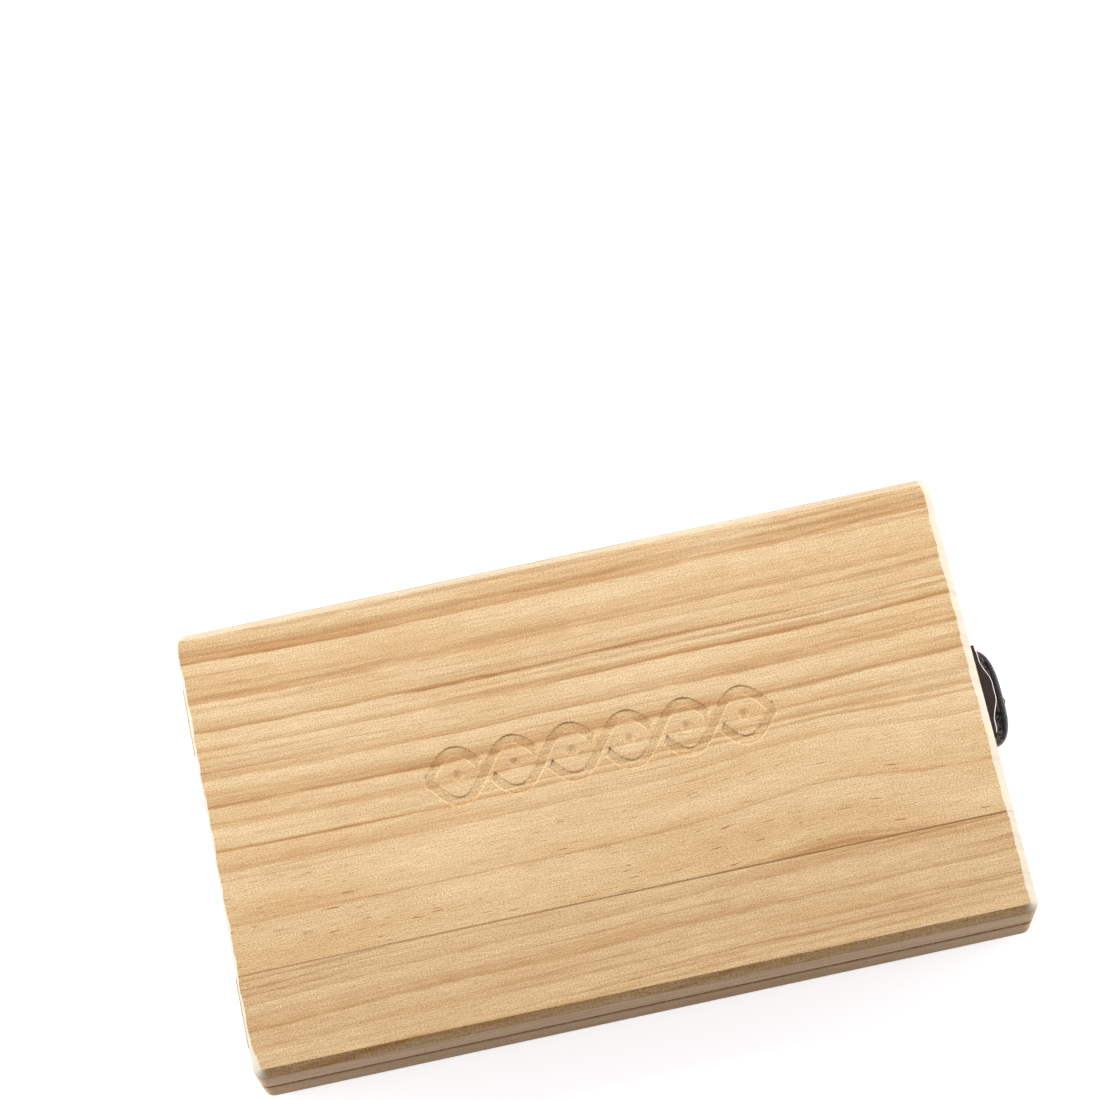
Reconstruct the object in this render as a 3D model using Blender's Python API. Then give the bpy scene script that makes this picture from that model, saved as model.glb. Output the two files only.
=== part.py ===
"""Folding mancala board, closed: two hollowed pine halves hinged at one end and latched at the other.

Metres, +Z up. The origin is the middle of the underside. X runs along the folded board, with the
hinges at -X and the latch at +X, and Y runs across it. The halves meet at the parting plane.
Each half is described by its depth: the distance from its own play face towards its outer face.
"""

import math

import bmesh
import bpy
from mathutils import Matrix, Vector

# Wooden halves
BOARD_LENGTH = 0.2200
BOARD_WIDTH = 0.1300
HALF_THICKNESS = 0.0140
PARTING_GAP = 0.0003
CORNER_RADIUS = 0.0030
BEVEL_RUN = 0.0024
BEVEL_DROP = 0.0018
BEVEL_ARRIS_ANGLE = math.radians(28)
PLAY_EDGE_RADIUS = 0.0008
CORNER_STEPS = 5
BEVEL_STEPS = 3
PLAY_EDGE_STEPS = 2

# Hollows in the play faces: two rows of pits as wide as fit, and one store across the latch end
PIT_COLUMNS = 3
PIT_DEPTH = 0.0085
PIT_LIP = 0.0012
PIT_RIB = 0.0060
MIDDLE_RIB = 0.0140
SIDE_MARGIN = 0.0120
HINGE_END_MARGIN = 0.0120
LATCH_END_MARGIN = 0.0100
STORE_WIDTH = 0.0400
STORE_DEPTH = 0.0085
STORE_RIB = 0.0080
HOLLOW_SIDES = 32
BOWL_RING_SHARES = (0.97, 0.80, 0.60, 0.38, 0.16)

# Clearances
SEAT_GAP = 0.0003
BORE_CLEARANCE = 0.00015
OVERRUN = 0.0010

# Butt hinges, one near each side
HINGE_INSET = 0.0220
HINGE_AXIS_OFFSET = 0.00015
LEAF_LENGTH = 0.0200
LEAF_WIDTH = 0.0085
LEAF_THICKNESS = 0.0008
KNUCKLE_RADIUS = 0.0012
HINGE_PIN_RADIUS = 0.0005
MIDDLE_KNUCKLE_LENGTH = 0.0088
LEAF_SCREW_INSET = 0.0050
LEAF_SCREW_SPACING = 0.0120
ROUND_SIDES = 16

# Wood screws, all of one size
SCREW_HEAD_RADIUS = 0.0014
SCREW_SHANK_RADIUS = 0.0007
SCREW_LENGTH = 0.0060
SCREW_POINT_LENGTH = 0.0016
SCREW_POINT_RADIUS = 0.0002
SCREW_HEAD_RISE = 0.0005
SCREW_SIDES = 12

# Latch plate on the upper half, with a curved brow along its top that shields the knuckles
LATCH_PLATE_WIDTH = 0.0280
LATCH_TOP_INSET = 0.0030
LATCH_BOTTOM_INSET = 0.0014
LATCH_PLATE_CORNER = 0.0010
PLATE_THICKNESS = 0.0008
LATCH_SCREW_SPACING = 0.0190
LATCH_SCREW_RISE = 0.0020
BROW_DROP = 0.0002
BROW_END_REACH = 0.0013
BROW_MIDDLE_REACH = 0.0033
BROW_FLAT_HALF = 0.0022
BROW_FOOT_HALF = 0.0092
BROW_STEPS = 8
HASP_AXIS_DROP = 0.0026
PLATE_KNUCKLE_LENGTH = 0.0030
KNUCKLE_END_GAP = 0.0003
HASP_PIN_RADIUS = 0.0005
PLATE_CORNER_STEPS = 4

# Domed hasp flap
FLAP_WIDTH = 0.0320
FLAP_TOP_DROP = 0.0014
FLAP_TAIL = 0.0058
FLAP_THICKNESS = 0.0008
FLAP_RISE = 0.0048
FLAP_KNUCKLE_LENGTH = 0.0060
FLAP_OUTLINE_POWER = 3.4
FLAP_TAPER_SHARE = 0.30
FLAP_DOME_POWER = 3.0
FLAP_SIDES = 40
FLAP_RING_SHARES = (0.12, 0.40, 0.62, 0.80, 0.92, 0.98, 1.0)

# Catch on the lower half
CATCH_PLATE_WIDTH = 0.0160
CATCH_PLATE_HEIGHT = 0.0076
CATCH_TOP_INSET = 0.0016
CATCH_PLATE_CORNER = 0.0015
CATCH_SCREW_SPACING = 0.0114
STAPLE_WIRE_RADIUS = 0.00045
STAPLE_HALF_WIDTH = 0.0021
STAPLE_RISE = 0.0010
STAPLE_STANDOUT = 0.0011
STAPLE_LEG_DEPTH = 0.0035
STAPLE_BEND_STEPS = 8
STAPLE_SIDES = 8
SLOT_SIDE_CLEARANCE = 0.0005
SLOT_TOP_CLEARANCE = 0.0004
SLOT_BOTTOM_CLEARANCE = 0.0011

# Colours from the wood and the dark bronze fittings
PINE = ("pine", (0.74, 0.53, 0.30), 0.50, 0.0)
BRASS = ("hinge_brass", (0.72, 0.52, 0.22), 0.32, 1.0)
BRONZE = ("antique_bronze", (0.060, 0.040, 0.034), 0.38, 0.9)
SMOOTH_ANGLE = math.radians(35)

LOWER = -1
UPPER = 1
FRONT = -1
BACK = 1

# Places worked out from the sizes above
end_x = BOARD_LENGTH / 2
side_y = BOARD_WIDTH / 2
half_depth = HALF_THICKNESS - PARTING_GAP / 2
store_radius = STORE_WIDTH / 2
store_x = end_x - LATCH_END_MARGIN - store_radius
room_along = store_x - store_radius - STORE_RIB + end_x - HINGE_END_MARGIN
room_across = BOARD_WIDTH - 2 * SIDE_MARGIN
pit_width_along = (room_along - (PIT_COLUMNS - 1) * PIT_RIB) / PIT_COLUMNS
pit_width_across = (room_across - MIDDLE_RIB) / 2
pit_radius = min(pit_width_along, pit_width_across) / 2
pit_pitch = (room_along - 2 * pit_radius) / (PIT_COLUMNS - 1)
pit_row_y = room_across / 2 - pit_radius
first_pit_x = -end_x + HINGE_END_MARGIN + pit_radius
store_reach = room_across / 2 - store_radius
hinge_axis_x = -end_x - HINGE_AXIS_OFFSET
hinge_y = side_y - HINGE_INSET
bore_radius = HINGE_PIN_RADIUS + BORE_CLEARANCE
plate_back_x = end_x + SEAT_GAP
plate_face_x = plate_back_x + PLATE_THICKNESS
hasp_axis_x = plate_face_x + SEAT_GAP + KNUCKLE_RADIUS
hasp_bore_radius = HASP_PIN_RADIUS + BORE_CLEARANCE
latch_plate_top = 2 * HALF_THICKNESS - LATCH_TOP_INSET
latch_plate_bottom = HALF_THICKNESS + LATCH_BOTTOM_INSET
hasp_axis_z = latch_plate_top - HASP_AXIS_DROP
catch_plate_centre = HALF_THICKNESS - CATCH_TOP_INSET - CATCH_PLATE_HEIGHT / 2
staple_z = catch_plate_centre + STAPLE_RISE
flap_rim_x = plate_face_x + SEAT_GAP
flap_crown_x = flap_rim_x + FLAP_RISE + FLAP_THICKNESS
flap_top = hasp_axis_z - FLAP_TOP_DROP
flap_bottom = staple_z - FLAP_TAIL


def height(side, depth):
    """World height of a point at this depth in the lower or the upper half."""
    return HALF_THICKNESS + side * (PARTING_GAP / 2 + depth)


class Shape:
    """Closed bodies gathered into one mesh."""

    def __init__(self):
        self.points = []
        self.faces = []

    def add_rings(self, rings):
        """Join equal rings of points one to the next, and close both ends with a flat face."""
        first = len(self.points)
        count = len(rings[0])
        for ring in rings:
            self.points.extend(Vector(point) for point in ring)
        for level in range(len(rings) - 1):
            near = first + level * count
            far = near + count
            for k in range(count):
                after = (k + 1) % count
                self.faces.append((near + k, near + after, far + after, far + k))
        last = first + (len(rings) - 1) * count
        self.faces.append(tuple(reversed(range(first, first + count))))
        self.faces.append(tuple(range(last, last + count)))

    def add_box(self, low, high):
        """A box between two opposite corners."""
        (x0, y0, z0), (x1, y1, z1) = low, high
        self.add_rings([[(x0, y0, z), (x1, y0, z), (x1, y1, z), (x0, y1, z)] for z in (z0, z1)])

    def add_turned(self, profile, matrix, sides):
        """Turn (radius, place) points round the Z axis of the matrix."""
        rings = []
        for radius, place in profile:
            loop = oval_loop(radius, 0.0, sides)
            rings.append([matrix @ Vector((x, y, place)) for x, y in loop])
        self.add_rings(rings)

    def add_barrel(self, centre, stem, across, sizes, span):
        """A knuckle along Y with a flat stem leaving it, as one outline carried from low to high Y.

        The stem lies between two offsets across it, and reaches this far from the knuckle's centre.
        """
        radius, (low, high), reach = sizes
        start = math.asin(high / radius)
        end = 2 * math.pi + math.asin(low / radius)
        outline = [(reach, low), (reach, high)]
        for k in range(ROUND_SIDES + 1):
            angle = start + k / ROUND_SIDES * (end - start)
            outline.append((radius * math.cos(angle), radius * math.sin(angle)))
        flat = [centre + u * Vector(stem) + v * Vector(across) for u, v in outline]
        self.add_rings([[point + Vector((0.0, y, 0.0)) for point in flat] for y in span])

    def mesh(self, name):
        """The bodies as a mesh whose faces point outwards."""
        build = bmesh.new()
        corners = [build.verts.new(point) for point in self.points]
        for face in self.faces:
            build.faces.new([corners[k] for k in face])
        bmesh.ops.recalc_face_normals(build, faces=build.faces)
        mesh = bpy.data.meshes.new(name)
        build.to_mesh(mesh)
        build.free()
        return mesh


def oval_loop(radius, reach, sides):
    """A circle whose two halves are moved apart along Y by reach each."""
    loop = []
    for k in range(sides):
        angle = (k + 0.5) * 2 * math.pi / sides
        x = radius * math.cos(angle)
        y = radius * math.sin(angle)
        loop.append((x, y + math.copysign(reach, y)))
    return loop


def rounded_rectangle(half_x, half_y, radius, steps):
    """A rectangle with round corners, counterclockwise."""
    loop = []
    for corner, (sign_x, sign_y) in enumerate(((1, 1), (-1, 1), (-1, -1), (1, -1))):
        centre_x = sign_x * (half_x - radius)
        centre_y = sign_y * (half_y - radius)
        for k in range(steps + 1):
            angle = (corner + k / steps) * math.pi / 2
            loop.append((centre_x + radius * math.cos(angle), centre_y + radius * math.sin(angle)))
    return loop


def along_x(x, y, z):
    """A frame at this point whose Z axis points along +X."""
    return Matrix.Translation((x, y, z)) @ Matrix.Rotation(math.pi / 2, 4, "Y")


def along_y(x, y, z):
    """A frame at this point whose Z axis points along +Y."""
    return Matrix.Translation((x, y, z)) @ Matrix.Rotation(-math.pi / 2, 4, "X")


def towards_depth(side, x, y):
    """A frame on a play face whose Z axis points into that half."""
    turn = Matrix.Rotation(math.pi, 4, "X") if side == LOWER else Matrix.Identity(4)
    return Matrix.Translation((x, y, height(side, 0.0))) @ turn


def make_material(name, colour, roughness, metallic):
    """A plain finish with one colour, roughness and metallic value."""
    material = bpy.data.materials.new(name)
    material.use_nodes = True
    shader = material.node_tree.nodes["Principled BSDF"]
    shader.inputs["Base Color"].default_value = (*colour, 1.0)
    shader.inputs["Roughness"].default_value = roughness
    shader.inputs["Metallic"].default_value = metallic
    material.diffuse_color = (*colour, 1.0)
    return material


def make_axis(name, location, parent=None):
    """An empty on a joint's axis, which carries the pieces that turn about it."""
    empty = bpy.data.objects.new(name, None)
    bpy.context.scene.collection.objects.link(empty)
    empty.location = location
    if parent is not None:
        empty.parent = parent
        empty.location = Vector(location) - parent.location
    return empty


def axis_place(empty):
    """World place of an axis empty."""
    place = Vector(empty.location)
    if empty.parent is not None:
        place += Vector(empty.parent.location)
    return place


def add_object(name, shape, carrier):
    """Put a shape into the scene, with its origin on the axis that carries it."""
    mesh = shape.mesh(name)
    obj = bpy.data.objects.new(name, mesh)
    bpy.context.scene.collection.objects.link(obj)
    if carrier is not None:
        mesh.transform(Matrix.Translation(-axis_place(carrier)))
        obj.parent = carrier
    return obj


def add_piece(name, shape, finish, carrier=None):
    """A visible piece with its own material."""
    piece = add_object(name, shape, carrier)
    label, colour, roughness, metallic = finish
    piece.data.materials.append(make_material(f"{name}_{label}", colour, roughness, metallic))
    piece.data.shade_smooth()
    piece.data.set_sharp_from_angle(angle=SMOOTH_ANGLE)
    return piece


def change_piece(piece, label, shape, operation, carrier=None):
    """Cut a piece with a hidden shape, or join the shape to it."""
    tool = add_object(f"{piece.name}_{label}", shape, carrier)
    tool.hide_render = True
    tool.display_type = "WIRE"
    boolean = piece.modifiers.new(label, "BOOLEAN")
    boolean.operation = operation
    boolean.solver = "EXACT"
    boolean.object = tool


def edge_profile():
    """(inset, depth) points of a half's outer wall, from the play face to the outer face."""
    points = []
    for k in range(PLAY_EDGE_STEPS + 1):
        angle = k / PLAY_EDGE_STEPS * math.pi / 2
        inset = PLAY_EDGE_RADIUS * (1 - math.sin(angle))
        points.append((inset, PLAY_EDGE_RADIUS * (1 - math.cos(angle))))
    start = BEVEL_ARRIS_ANGLE
    for k in reversed(range(BEVEL_STEPS + 1)):
        angle = start + k / BEVEL_STEPS * (math.pi / 2 - start)
        inset = BEVEL_RUN * (1 - math.sin(angle)) / (1 - math.sin(start))
        drop = BEVEL_DROP * (math.cos(start) - math.cos(angle)) / math.cos(start)
        points.append((inset, half_depth - drop))
    return points


def bowl_profile(radius, depth):
    """(radius, depth) points of a hollow: a soft lip, then part of a sphere down to a small flat."""
    sphere = (radius ** 2 + depth ** 2) / (2 * depth)
    slope = math.asin(radius / sphere)
    lip_top = Vector((radius + PIT_LIP, 0.0))
    lip_end = Vector((radius - PIT_LIP * math.cos(slope), PIT_LIP * math.sin(slope)))
    lip_middle = (lip_top + 2 * Vector((radius, 0.0)) + lip_end) / 4
    outward = (lip_top - lip_middle).normalized()
    points = [lip_top + outward * OVERRUN, lip_middle]
    for share in BOWL_RING_SHARES:
        ring = share * lip_end.x
        points.append((ring, depth - sphere + math.sqrt(sphere ** 2 - ring ** 2)))
    return points


def hollows(side):
    """The pits and the store of one half, as solids to cut away."""
    places = []
    for column in range(PIT_COLUMNS):
        for row in (-pit_row_y, pit_row_y):
            places.append((first_pit_x + column * pit_pitch, row, pit_radius, PIT_DEPTH, 0.0))
    places.append((store_x, 0.0, store_radius, STORE_DEPTH, store_reach))
    shape = Shape()
    for x, y, radius, depth, reach in places:
        rings = []
        for ring, level in bowl_profile(radius, depth):
            loop = oval_loop(ring, reach, HOLLOW_SIDES)
            rings.append([(x + dx, y + dy, height(side, level)) for dx, dy in loop])
        shape.add_rings(rings)
    return shape


def mortises(side):
    """Seats for the hinge leaves, deeper at the end face where the knuckles lie."""
    leaf_end = -end_x + LEAF_WIDTH + SEAT_GAP
    leaf_floor = LEAF_THICKNESS + SEAT_GAP
    knuckle_end = hinge_axis_x + KNUCKLE_RADIUS + SEAT_GAP
    knuckle_floor = KNUCKLE_RADIUS + SEAT_GAP - PARTING_GAP / 2
    outline = [
        (-end_x - OVERRUN, -OVERRUN),
        (leaf_end, -OVERRUN),
        (leaf_end, leaf_floor),
        (knuckle_end, leaf_floor),
        (knuckle_end, knuckle_floor),
        (-end_x - OVERRUN, knuckle_floor),
    ]
    reach = LEAF_LENGTH / 2 + SEAT_GAP
    shape = Shape()
    for row in (FRONT * hinge_y, BACK * hinge_y):
        ends = (row - reach, row + reach)
        shape.add_rings([[(x, y, height(side, depth)) for x, depth in outline] for y in ends])
    return shape


def leaf_screw_places(hinge):
    """The two screws of one hinge leaf, as (x, y)."""
    x = -end_x + LEAF_SCREW_INSET
    middle = hinge * hinge_y
    return [(x, middle - LEAF_SCREW_SPACING / 2), (x, middle + LEAF_SCREW_SPACING / 2)]


def pilot_profile(start):
    """(radius, place) points of a screw's hole in the wood, from above the wood inwards."""
    radius = SCREW_SHANK_RADIUS + SEAT_GAP
    return [(radius, start), (radius, SCREW_LENGTH + SEAT_GAP)]


def board_holes(side):
    """Screw holes under the hinge leaves, and behind the latch plate or the catch plate."""
    shape = Shape()
    for hinge in (FRONT, BACK):
        for x, y in leaf_screw_places(hinge):
            shape.add_turned(pilot_profile(LEAF_THICKNESS), towards_depth(side, x, y), ROUND_SIDES)
    spacing, level = plate_screw_places(side)
    inward = Matrix.Rotation(math.pi, 4, "X")
    for y in (-spacing / 2, spacing / 2):
        frame = along_x(plate_face_x, y, level) @ inward
        shape.add_turned(pilot_profile(-OVERRUN), frame, ROUND_SIDES)
    if side == LOWER:
        radius = STAPLE_WIRE_RADIUS + SEAT_GAP
        reach = STAPLE_LEG_DEPTH + SEAT_GAP
        for y in (-STAPLE_HALF_WIDTH, STAPLE_HALF_WIDTH):
            frame = along_x(end_x, y, staple_z)
            shape.add_turned([(radius, -reach), (radius, OVERRUN)], frame, ROUND_SIDES)
    return shape


def plate_screw_places(side):
    """Spacing and height of the screws in the plate on this half's latch end."""
    if side == LOWER:
        return CATCH_SCREW_SPACING, catch_plate_centre
    return LATCH_SCREW_SPACING, latch_plate_bottom + LATCH_SCREW_RISE


def make_board(name, side, carrier=None):
    """One wooden half: a slab with a bevelled outer edge, hollowed in its play face."""
    rings = []
    for inset, depth in edge_profile():
        radius = max(CORNER_RADIUS - inset, SEAT_GAP)
        loop = rounded_rectangle(end_x - inset, side_y - inset, radius, CORNER_STEPS)
        rings.append([(x, y, height(side, depth)) for x, y in loop])
    shape = Shape()
    shape.add_rings(rings)
    board = add_piece(name, shape, PINE, carrier)
    change_piece(board, "hollows", hollows(side), "DIFFERENCE", carrier)
    change_piece(board, "mortises", mortises(side), "DIFFERENCE", carrier)
    change_piece(board, "holes", board_holes(side), "DIFFERENCE", carrier)


def knuckle_spaces(side):
    """(low, high) stretches along Y where a leaf makes room for the other leaf's knuckles."""
    middle = MIDDLE_KNUCKLE_LENGTH / 2
    if side == LOWER:
        inner = middle + KNUCKLE_END_GAP
        return [(-inner, inner)]
    outer = LEAF_LENGTH / 2 + KNUCKLE_END_GAP
    return [(-outer, -middle), (middle, outer)]


def make_leaf(name, side, hinge, carrier=None):
    """One hinge leaf, flush with its play face, with its knuckles about the fold axis."""
    middle = hinge * hinge_y
    centre = Vector((hinge_axis_x, 0.0, HALF_THICKNESS))
    skin = PARTING_GAP / 2
    sizes = (KNUCKLE_RADIUS, (skin, skin + LEAF_THICKNESS), -end_x + LEAF_WIDTH - hinge_axis_x)
    span = (middle - LEAF_LENGTH / 2, middle + LEAF_LENGTH / 2)
    plate = Shape()
    plate.add_barrel(centre, (1, 0, 0), (0, 0, side), sizes, span)
    spaces = Shape()
    reach = KNUCKLE_RADIUS + SEAT_GAP
    for low, high in knuckle_spaces(side):
        spaces.add_box(
            (hinge_axis_x - reach, middle + low, HALF_THICKNESS - reach),
            (hinge_axis_x + reach, middle + high, HALF_THICKNESS + reach),
        )
    holes = Shape()
    bore = [(bore_radius, -LEAF_LENGTH), (bore_radius, LEAF_LENGTH)]
    holes.add_turned(bore, along_y(hinge_axis_x, middle, HALF_THICKNESS), ROUND_SIDES)
    for x, y in leaf_screw_places(hinge):
        holes.add_turned(countersink_profile(), towards_depth(side, x, y), SCREW_SIDES)
    leaf = add_piece(name, plate, BRASS, carrier)
    change_piece(leaf, "spaces", spaces, "DIFFERENCE", carrier)
    change_piece(leaf, "holes", holes, "DIFFERENCE", carrier)


def countersink_profile():
    """(radius, place) points of a leaf's countersunk hole, wider than the screw all the way."""
    slope = (SCREW_HEAD_RADIUS - SCREW_SHANK_RADIUS) / LEAF_THICKNESS
    points = []
    for place in (-OVERRUN, LEAF_THICKNESS, LEAF_THICKNESS + OVERRUN):
        widen = max(LEAF_THICKNESS - place, 0.0)
        points.append((SCREW_SHANK_RADIUS + SEAT_GAP + slope * widen, place))
    return points


def shank_profile(start):
    """(radius, place) points of a screw's shank and point."""
    return [
        (SCREW_SHANK_RADIUS, start),
        (SCREW_SHANK_RADIUS, SCREW_LENGTH - SCREW_POINT_LENGTH),
        (SCREW_POINT_RADIUS, SCREW_LENGTH),
    ]


def make_leaf_screws(name, side, hinge, carrier=None):
    """Two countersunk screws that hold a hinge leaf."""
    profile = [(SCREW_HEAD_RADIUS, 0.0)] + shank_profile(LEAF_THICKNESS)
    for number, (x, y) in enumerate(leaf_screw_places(hinge), start=1):
        shape = Shape()
        shape.add_turned(profile, towards_depth(side, x, y), SCREW_SIDES)
        add_piece(f"{name}_{number}", shape, BRASS, carrier)


def make_hinge_pin(name, hinge):
    """The pin through the knuckles of one hinge."""
    shape = Shape()
    ends = [(HINGE_PIN_RADIUS, -LEAF_LENGTH / 2), (HINGE_PIN_RADIUS, LEAF_LENGTH / 2)]
    shape.add_turned(ends, along_y(hinge_axis_x, hinge * hinge_y, HALF_THICKNESS), SCREW_SIDES)
    add_piece(name, shape, BRASS)


def add_plate(shape, width, span, corner):
    """A flat plate with round corners, standing just clear of the latch end between two heights."""
    bottom, top = span
    centre = (bottom + top) / 2
    loop = rounded_rectangle(width / 2, (top - bottom) / 2, corner, PLATE_CORNER_STEPS)
    shape.add_rings([[(x, y, centre + z) for y, z in loop] for x in (plate_back_x, plate_face_x)])


def plate_holes(side):
    """Clearance holes for a plate's two screws."""
    shape = Shape()
    spacing, level = plate_screw_places(side)
    radius = SCREW_SHANK_RADIUS + SEAT_GAP
    for y in (-spacing / 2, spacing / 2):
        span = [(radius, -OVERRUN), (radius, PLATE_THICKNESS + OVERRUN)]
        shape.add_turned(span, along_x(plate_back_x, y, level), SCREW_SIDES)
    return shape


def make_plate_screws(name, side, carrier=None):
    """Two round-headed screws through the latch plate or the catch plate."""
    spacing, level = plate_screw_places(side)
    inward = Matrix.Rotation(math.pi, 4, "X")
    seat = -SEAT_GAP
    crown = seat - SCREW_HEAD_RISE
    shoulder = seat - SCREW_HEAD_RISE / 2
    profile = [(SCREW_SHANK_RADIUS, crown), (SCREW_HEAD_RADIUS, shoulder), (SCREW_HEAD_RADIUS, seat)]
    profile += shank_profile(seat)
    for number, y in enumerate((-spacing / 2, spacing / 2), start=1):
        shape = Shape()
        shape.add_turned(profile, along_x(plate_face_x, y, level) @ inward, SCREW_SIDES)
        add_piece(f"{name}_{number}", shape, BRONZE, carrier)


def hasp_barrel_spans():
    """(low, high) stretches along Y of the latch plate's two knuckles."""
    inner = FLAP_KNUCKLE_LENGTH / 2 + KNUCKLE_END_GAP
    outer = inner + PLATE_KNUCKLE_LENGTH
    return [(-outer, -inner), (inner, outer)]


def hasp_bore():
    """The bore through all knuckles of the hasp, as a solid to cut away."""
    shape = Shape()
    bore = [(hasp_bore_radius, -FLAP_WIDTH / 2), (hasp_bore_radius, FLAP_WIDTH / 2)]
    shape.add_turned(bore, along_y(hasp_axis_x, 0.0, hasp_axis_z), ROUND_SIDES)
    return shape


def brow():
    """The brow over the knuckles: level, and drawn out in a soft wave to its reach in the middle."""
    top = latch_plate_top - BROW_DROP
    end_y = LATCH_PLATE_WIDTH / 2 - LATCH_PLATE_CORNER
    half = [(BROW_END_REACH, end_y)]
    for k in range(BROW_STEPS + 1):
        share = k / BROW_STEPS
        y = BROW_FOOT_HALF - share * (BROW_FOOT_HALF - BROW_FLAT_HALF)
        wave = (1 - math.cos(share * math.pi)) / 2
        half.append((BROW_END_REACH + wave * (BROW_MIDDLE_REACH - BROW_END_REACH), y))
    root = plate_back_x + PLATE_THICKNESS / 2
    outline = [(root, end_y)] + [(plate_back_x + reach, y) for reach, y in half]
    outline += [(x, -y) for x, y in reversed(outline)]
    shape = Shape()
    shape.add_rings([[(x, y, z) for x, y in outline] for z in (top - PLATE_THICKNESS, top)])
    return shape


def make_latch_plate(name, carrier):
    """The plate on the upper half, with the two outer knuckles of the hasp."""
    plate = Shape()
    span = (latch_plate_bottom, latch_plate_top)
    add_plate(plate, LATCH_PLATE_WIDTH, span, LATCH_PLATE_CORNER)
    knuckles = Shape()
    centre = Vector((hasp_axis_x, 0.0, hasp_axis_z))
    stem_end = hasp_axis_x - plate_face_x + PLATE_THICKNESS / 2
    sizes = (KNUCKLE_RADIUS, (-hasp_bore_radius, hasp_bore_radius), stem_end)
    for stretch in hasp_barrel_spans():
        knuckles.add_barrel(centre, (-1, 0, 0), (0, 0, 1), sizes, stretch)
    piece = add_piece(name, plate, BRONZE, carrier)
    change_piece(piece, "brow", brow(), "UNION", carrier)
    change_piece(piece, "knuckles", knuckles, "UNION", carrier)
    change_piece(piece, "bore", hasp_bore(), "DIFFERENCE", carrier)
    change_piece(piece, "holes", plate_holes(UPPER), "DIFFERENCE", carrier)


def make_hasp_pin(name, carrier):
    """The pin through the hasp's knuckles."""
    shape = Shape()
    reach = hasp_barrel_spans()[1][1]
    ends = [(HASP_PIN_RADIUS, -reach), (HASP_PIN_RADIUS, reach)]
    shape.add_turned(ends, along_y(hasp_axis_x, 0.0, hasp_axis_z), SCREW_SIDES)
    add_piece(name, shape, BRONZE, carrier)


def dome_ring(share, inset, rise):
    """One ring of a dome: a superellipse at this share of its outline, narrowed towards the bottom."""
    half_width = FLAP_WIDTH / 2 - inset
    half_height = (flap_top - flap_bottom) / 2 - inset
    centre = (flap_top + flap_bottom) / 2
    ring = []
    lift = rise * math.sqrt(1 - share ** FLAP_DOME_POWER)
    for k in range(FLAP_SIDES):
        angle = (k + 0.5) * 2 * math.pi / FLAP_SIDES
        y = math.cos(angle)
        z = math.sin(angle)
        size = (abs(y) ** FLAP_OUTLINE_POWER + abs(z) ** FLAP_OUTLINE_POWER) ** (1 / FLAP_OUTLINE_POWER)
        across = share * y / size
        up = share * z / size
        across *= 1 - FLAP_TAPER_SHARE * (1 - up) / 2
        ring.append((flap_rim_x + lift, half_width * across, centre + half_height * up))
    return ring


def make_flap(name, carrier):
    """The domed hasp flap: a thin shell with its knuckle above and the staple's slot below."""
    rings = [dome_ring(share, 0.0, flap_crown_x - flap_rim_x) for share in FLAP_RING_SHARES]
    rings += [dome_ring(share, FLAP_THICKNESS, FLAP_RISE) for share in reversed(FLAP_RING_SHARES)]
    shell = Shape()
    shell.add_rings(rings)
    knuckle = Shape()
    centre = Vector((hasp_axis_x, 0.0, hasp_axis_z))
    reach = FLAP_KNUCKLE_LENGTH / 2
    stem_end = FLAP_TOP_DROP + FLAP_THICKNESS / 2
    sizes = (KNUCKLE_RADIUS, (-FLAP_THICKNESS, FLAP_THICKNESS), stem_end)
    knuckle.add_barrel(centre, (0, 0, -1), (1, 0, 0), sizes, (-reach, reach))
    slot = Shape()
    slot_reach = STAPLE_HALF_WIDTH + STAPLE_WIRE_RADIUS + SLOT_SIDE_CLEARANCE
    slot_bottom = staple_z - STAPLE_WIRE_RADIUS - SLOT_BOTTOM_CLEARANCE
    slot_top = staple_z + STAPLE_WIRE_RADIUS + SLOT_TOP_CLEARANCE
    slot.add_box(
        (flap_rim_x + FLAP_RISE / 2, -slot_reach, slot_bottom),
        (flap_crown_x + OVERRUN, slot_reach, slot_top),
    )
    flap = add_piece(name, shell, BRONZE, carrier)
    change_piece(flap, "knuckle", knuckle, "UNION", carrier)
    change_piece(flap, "bore", hasp_bore(), "DIFFERENCE", carrier)
    change_piece(flap, "slot", slot, "DIFFERENCE", carrier)


def make_catch_plate(name):
    """The plate on the lower half that carries the staple."""
    plate = Shape()
    half_height = CATCH_PLATE_HEIGHT / 2
    span = (catch_plate_centre - half_height, catch_plate_centre + half_height)
    add_plate(plate, CATCH_PLATE_WIDTH, span, CATCH_PLATE_CORNER)
    legs = Shape()
    radius = STAPLE_WIRE_RADIUS + BORE_CLEARANCE
    for y in (-STAPLE_HALF_WIDTH, STAPLE_HALF_WIDTH):
        hole = [(radius, -OVERRUN), (radius, PLATE_THICKNESS + OVERRUN)]
        legs.add_turned(hole, along_x(plate_back_x, y, staple_z), SCREW_SIDES)
    piece = add_piece(name, plate, BRONZE)
    change_piece(piece, "holes", plate_holes(LOWER), "DIFFERENCE")
    change_piece(piece, "leg_holes", legs, "DIFFERENCE")


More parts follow.
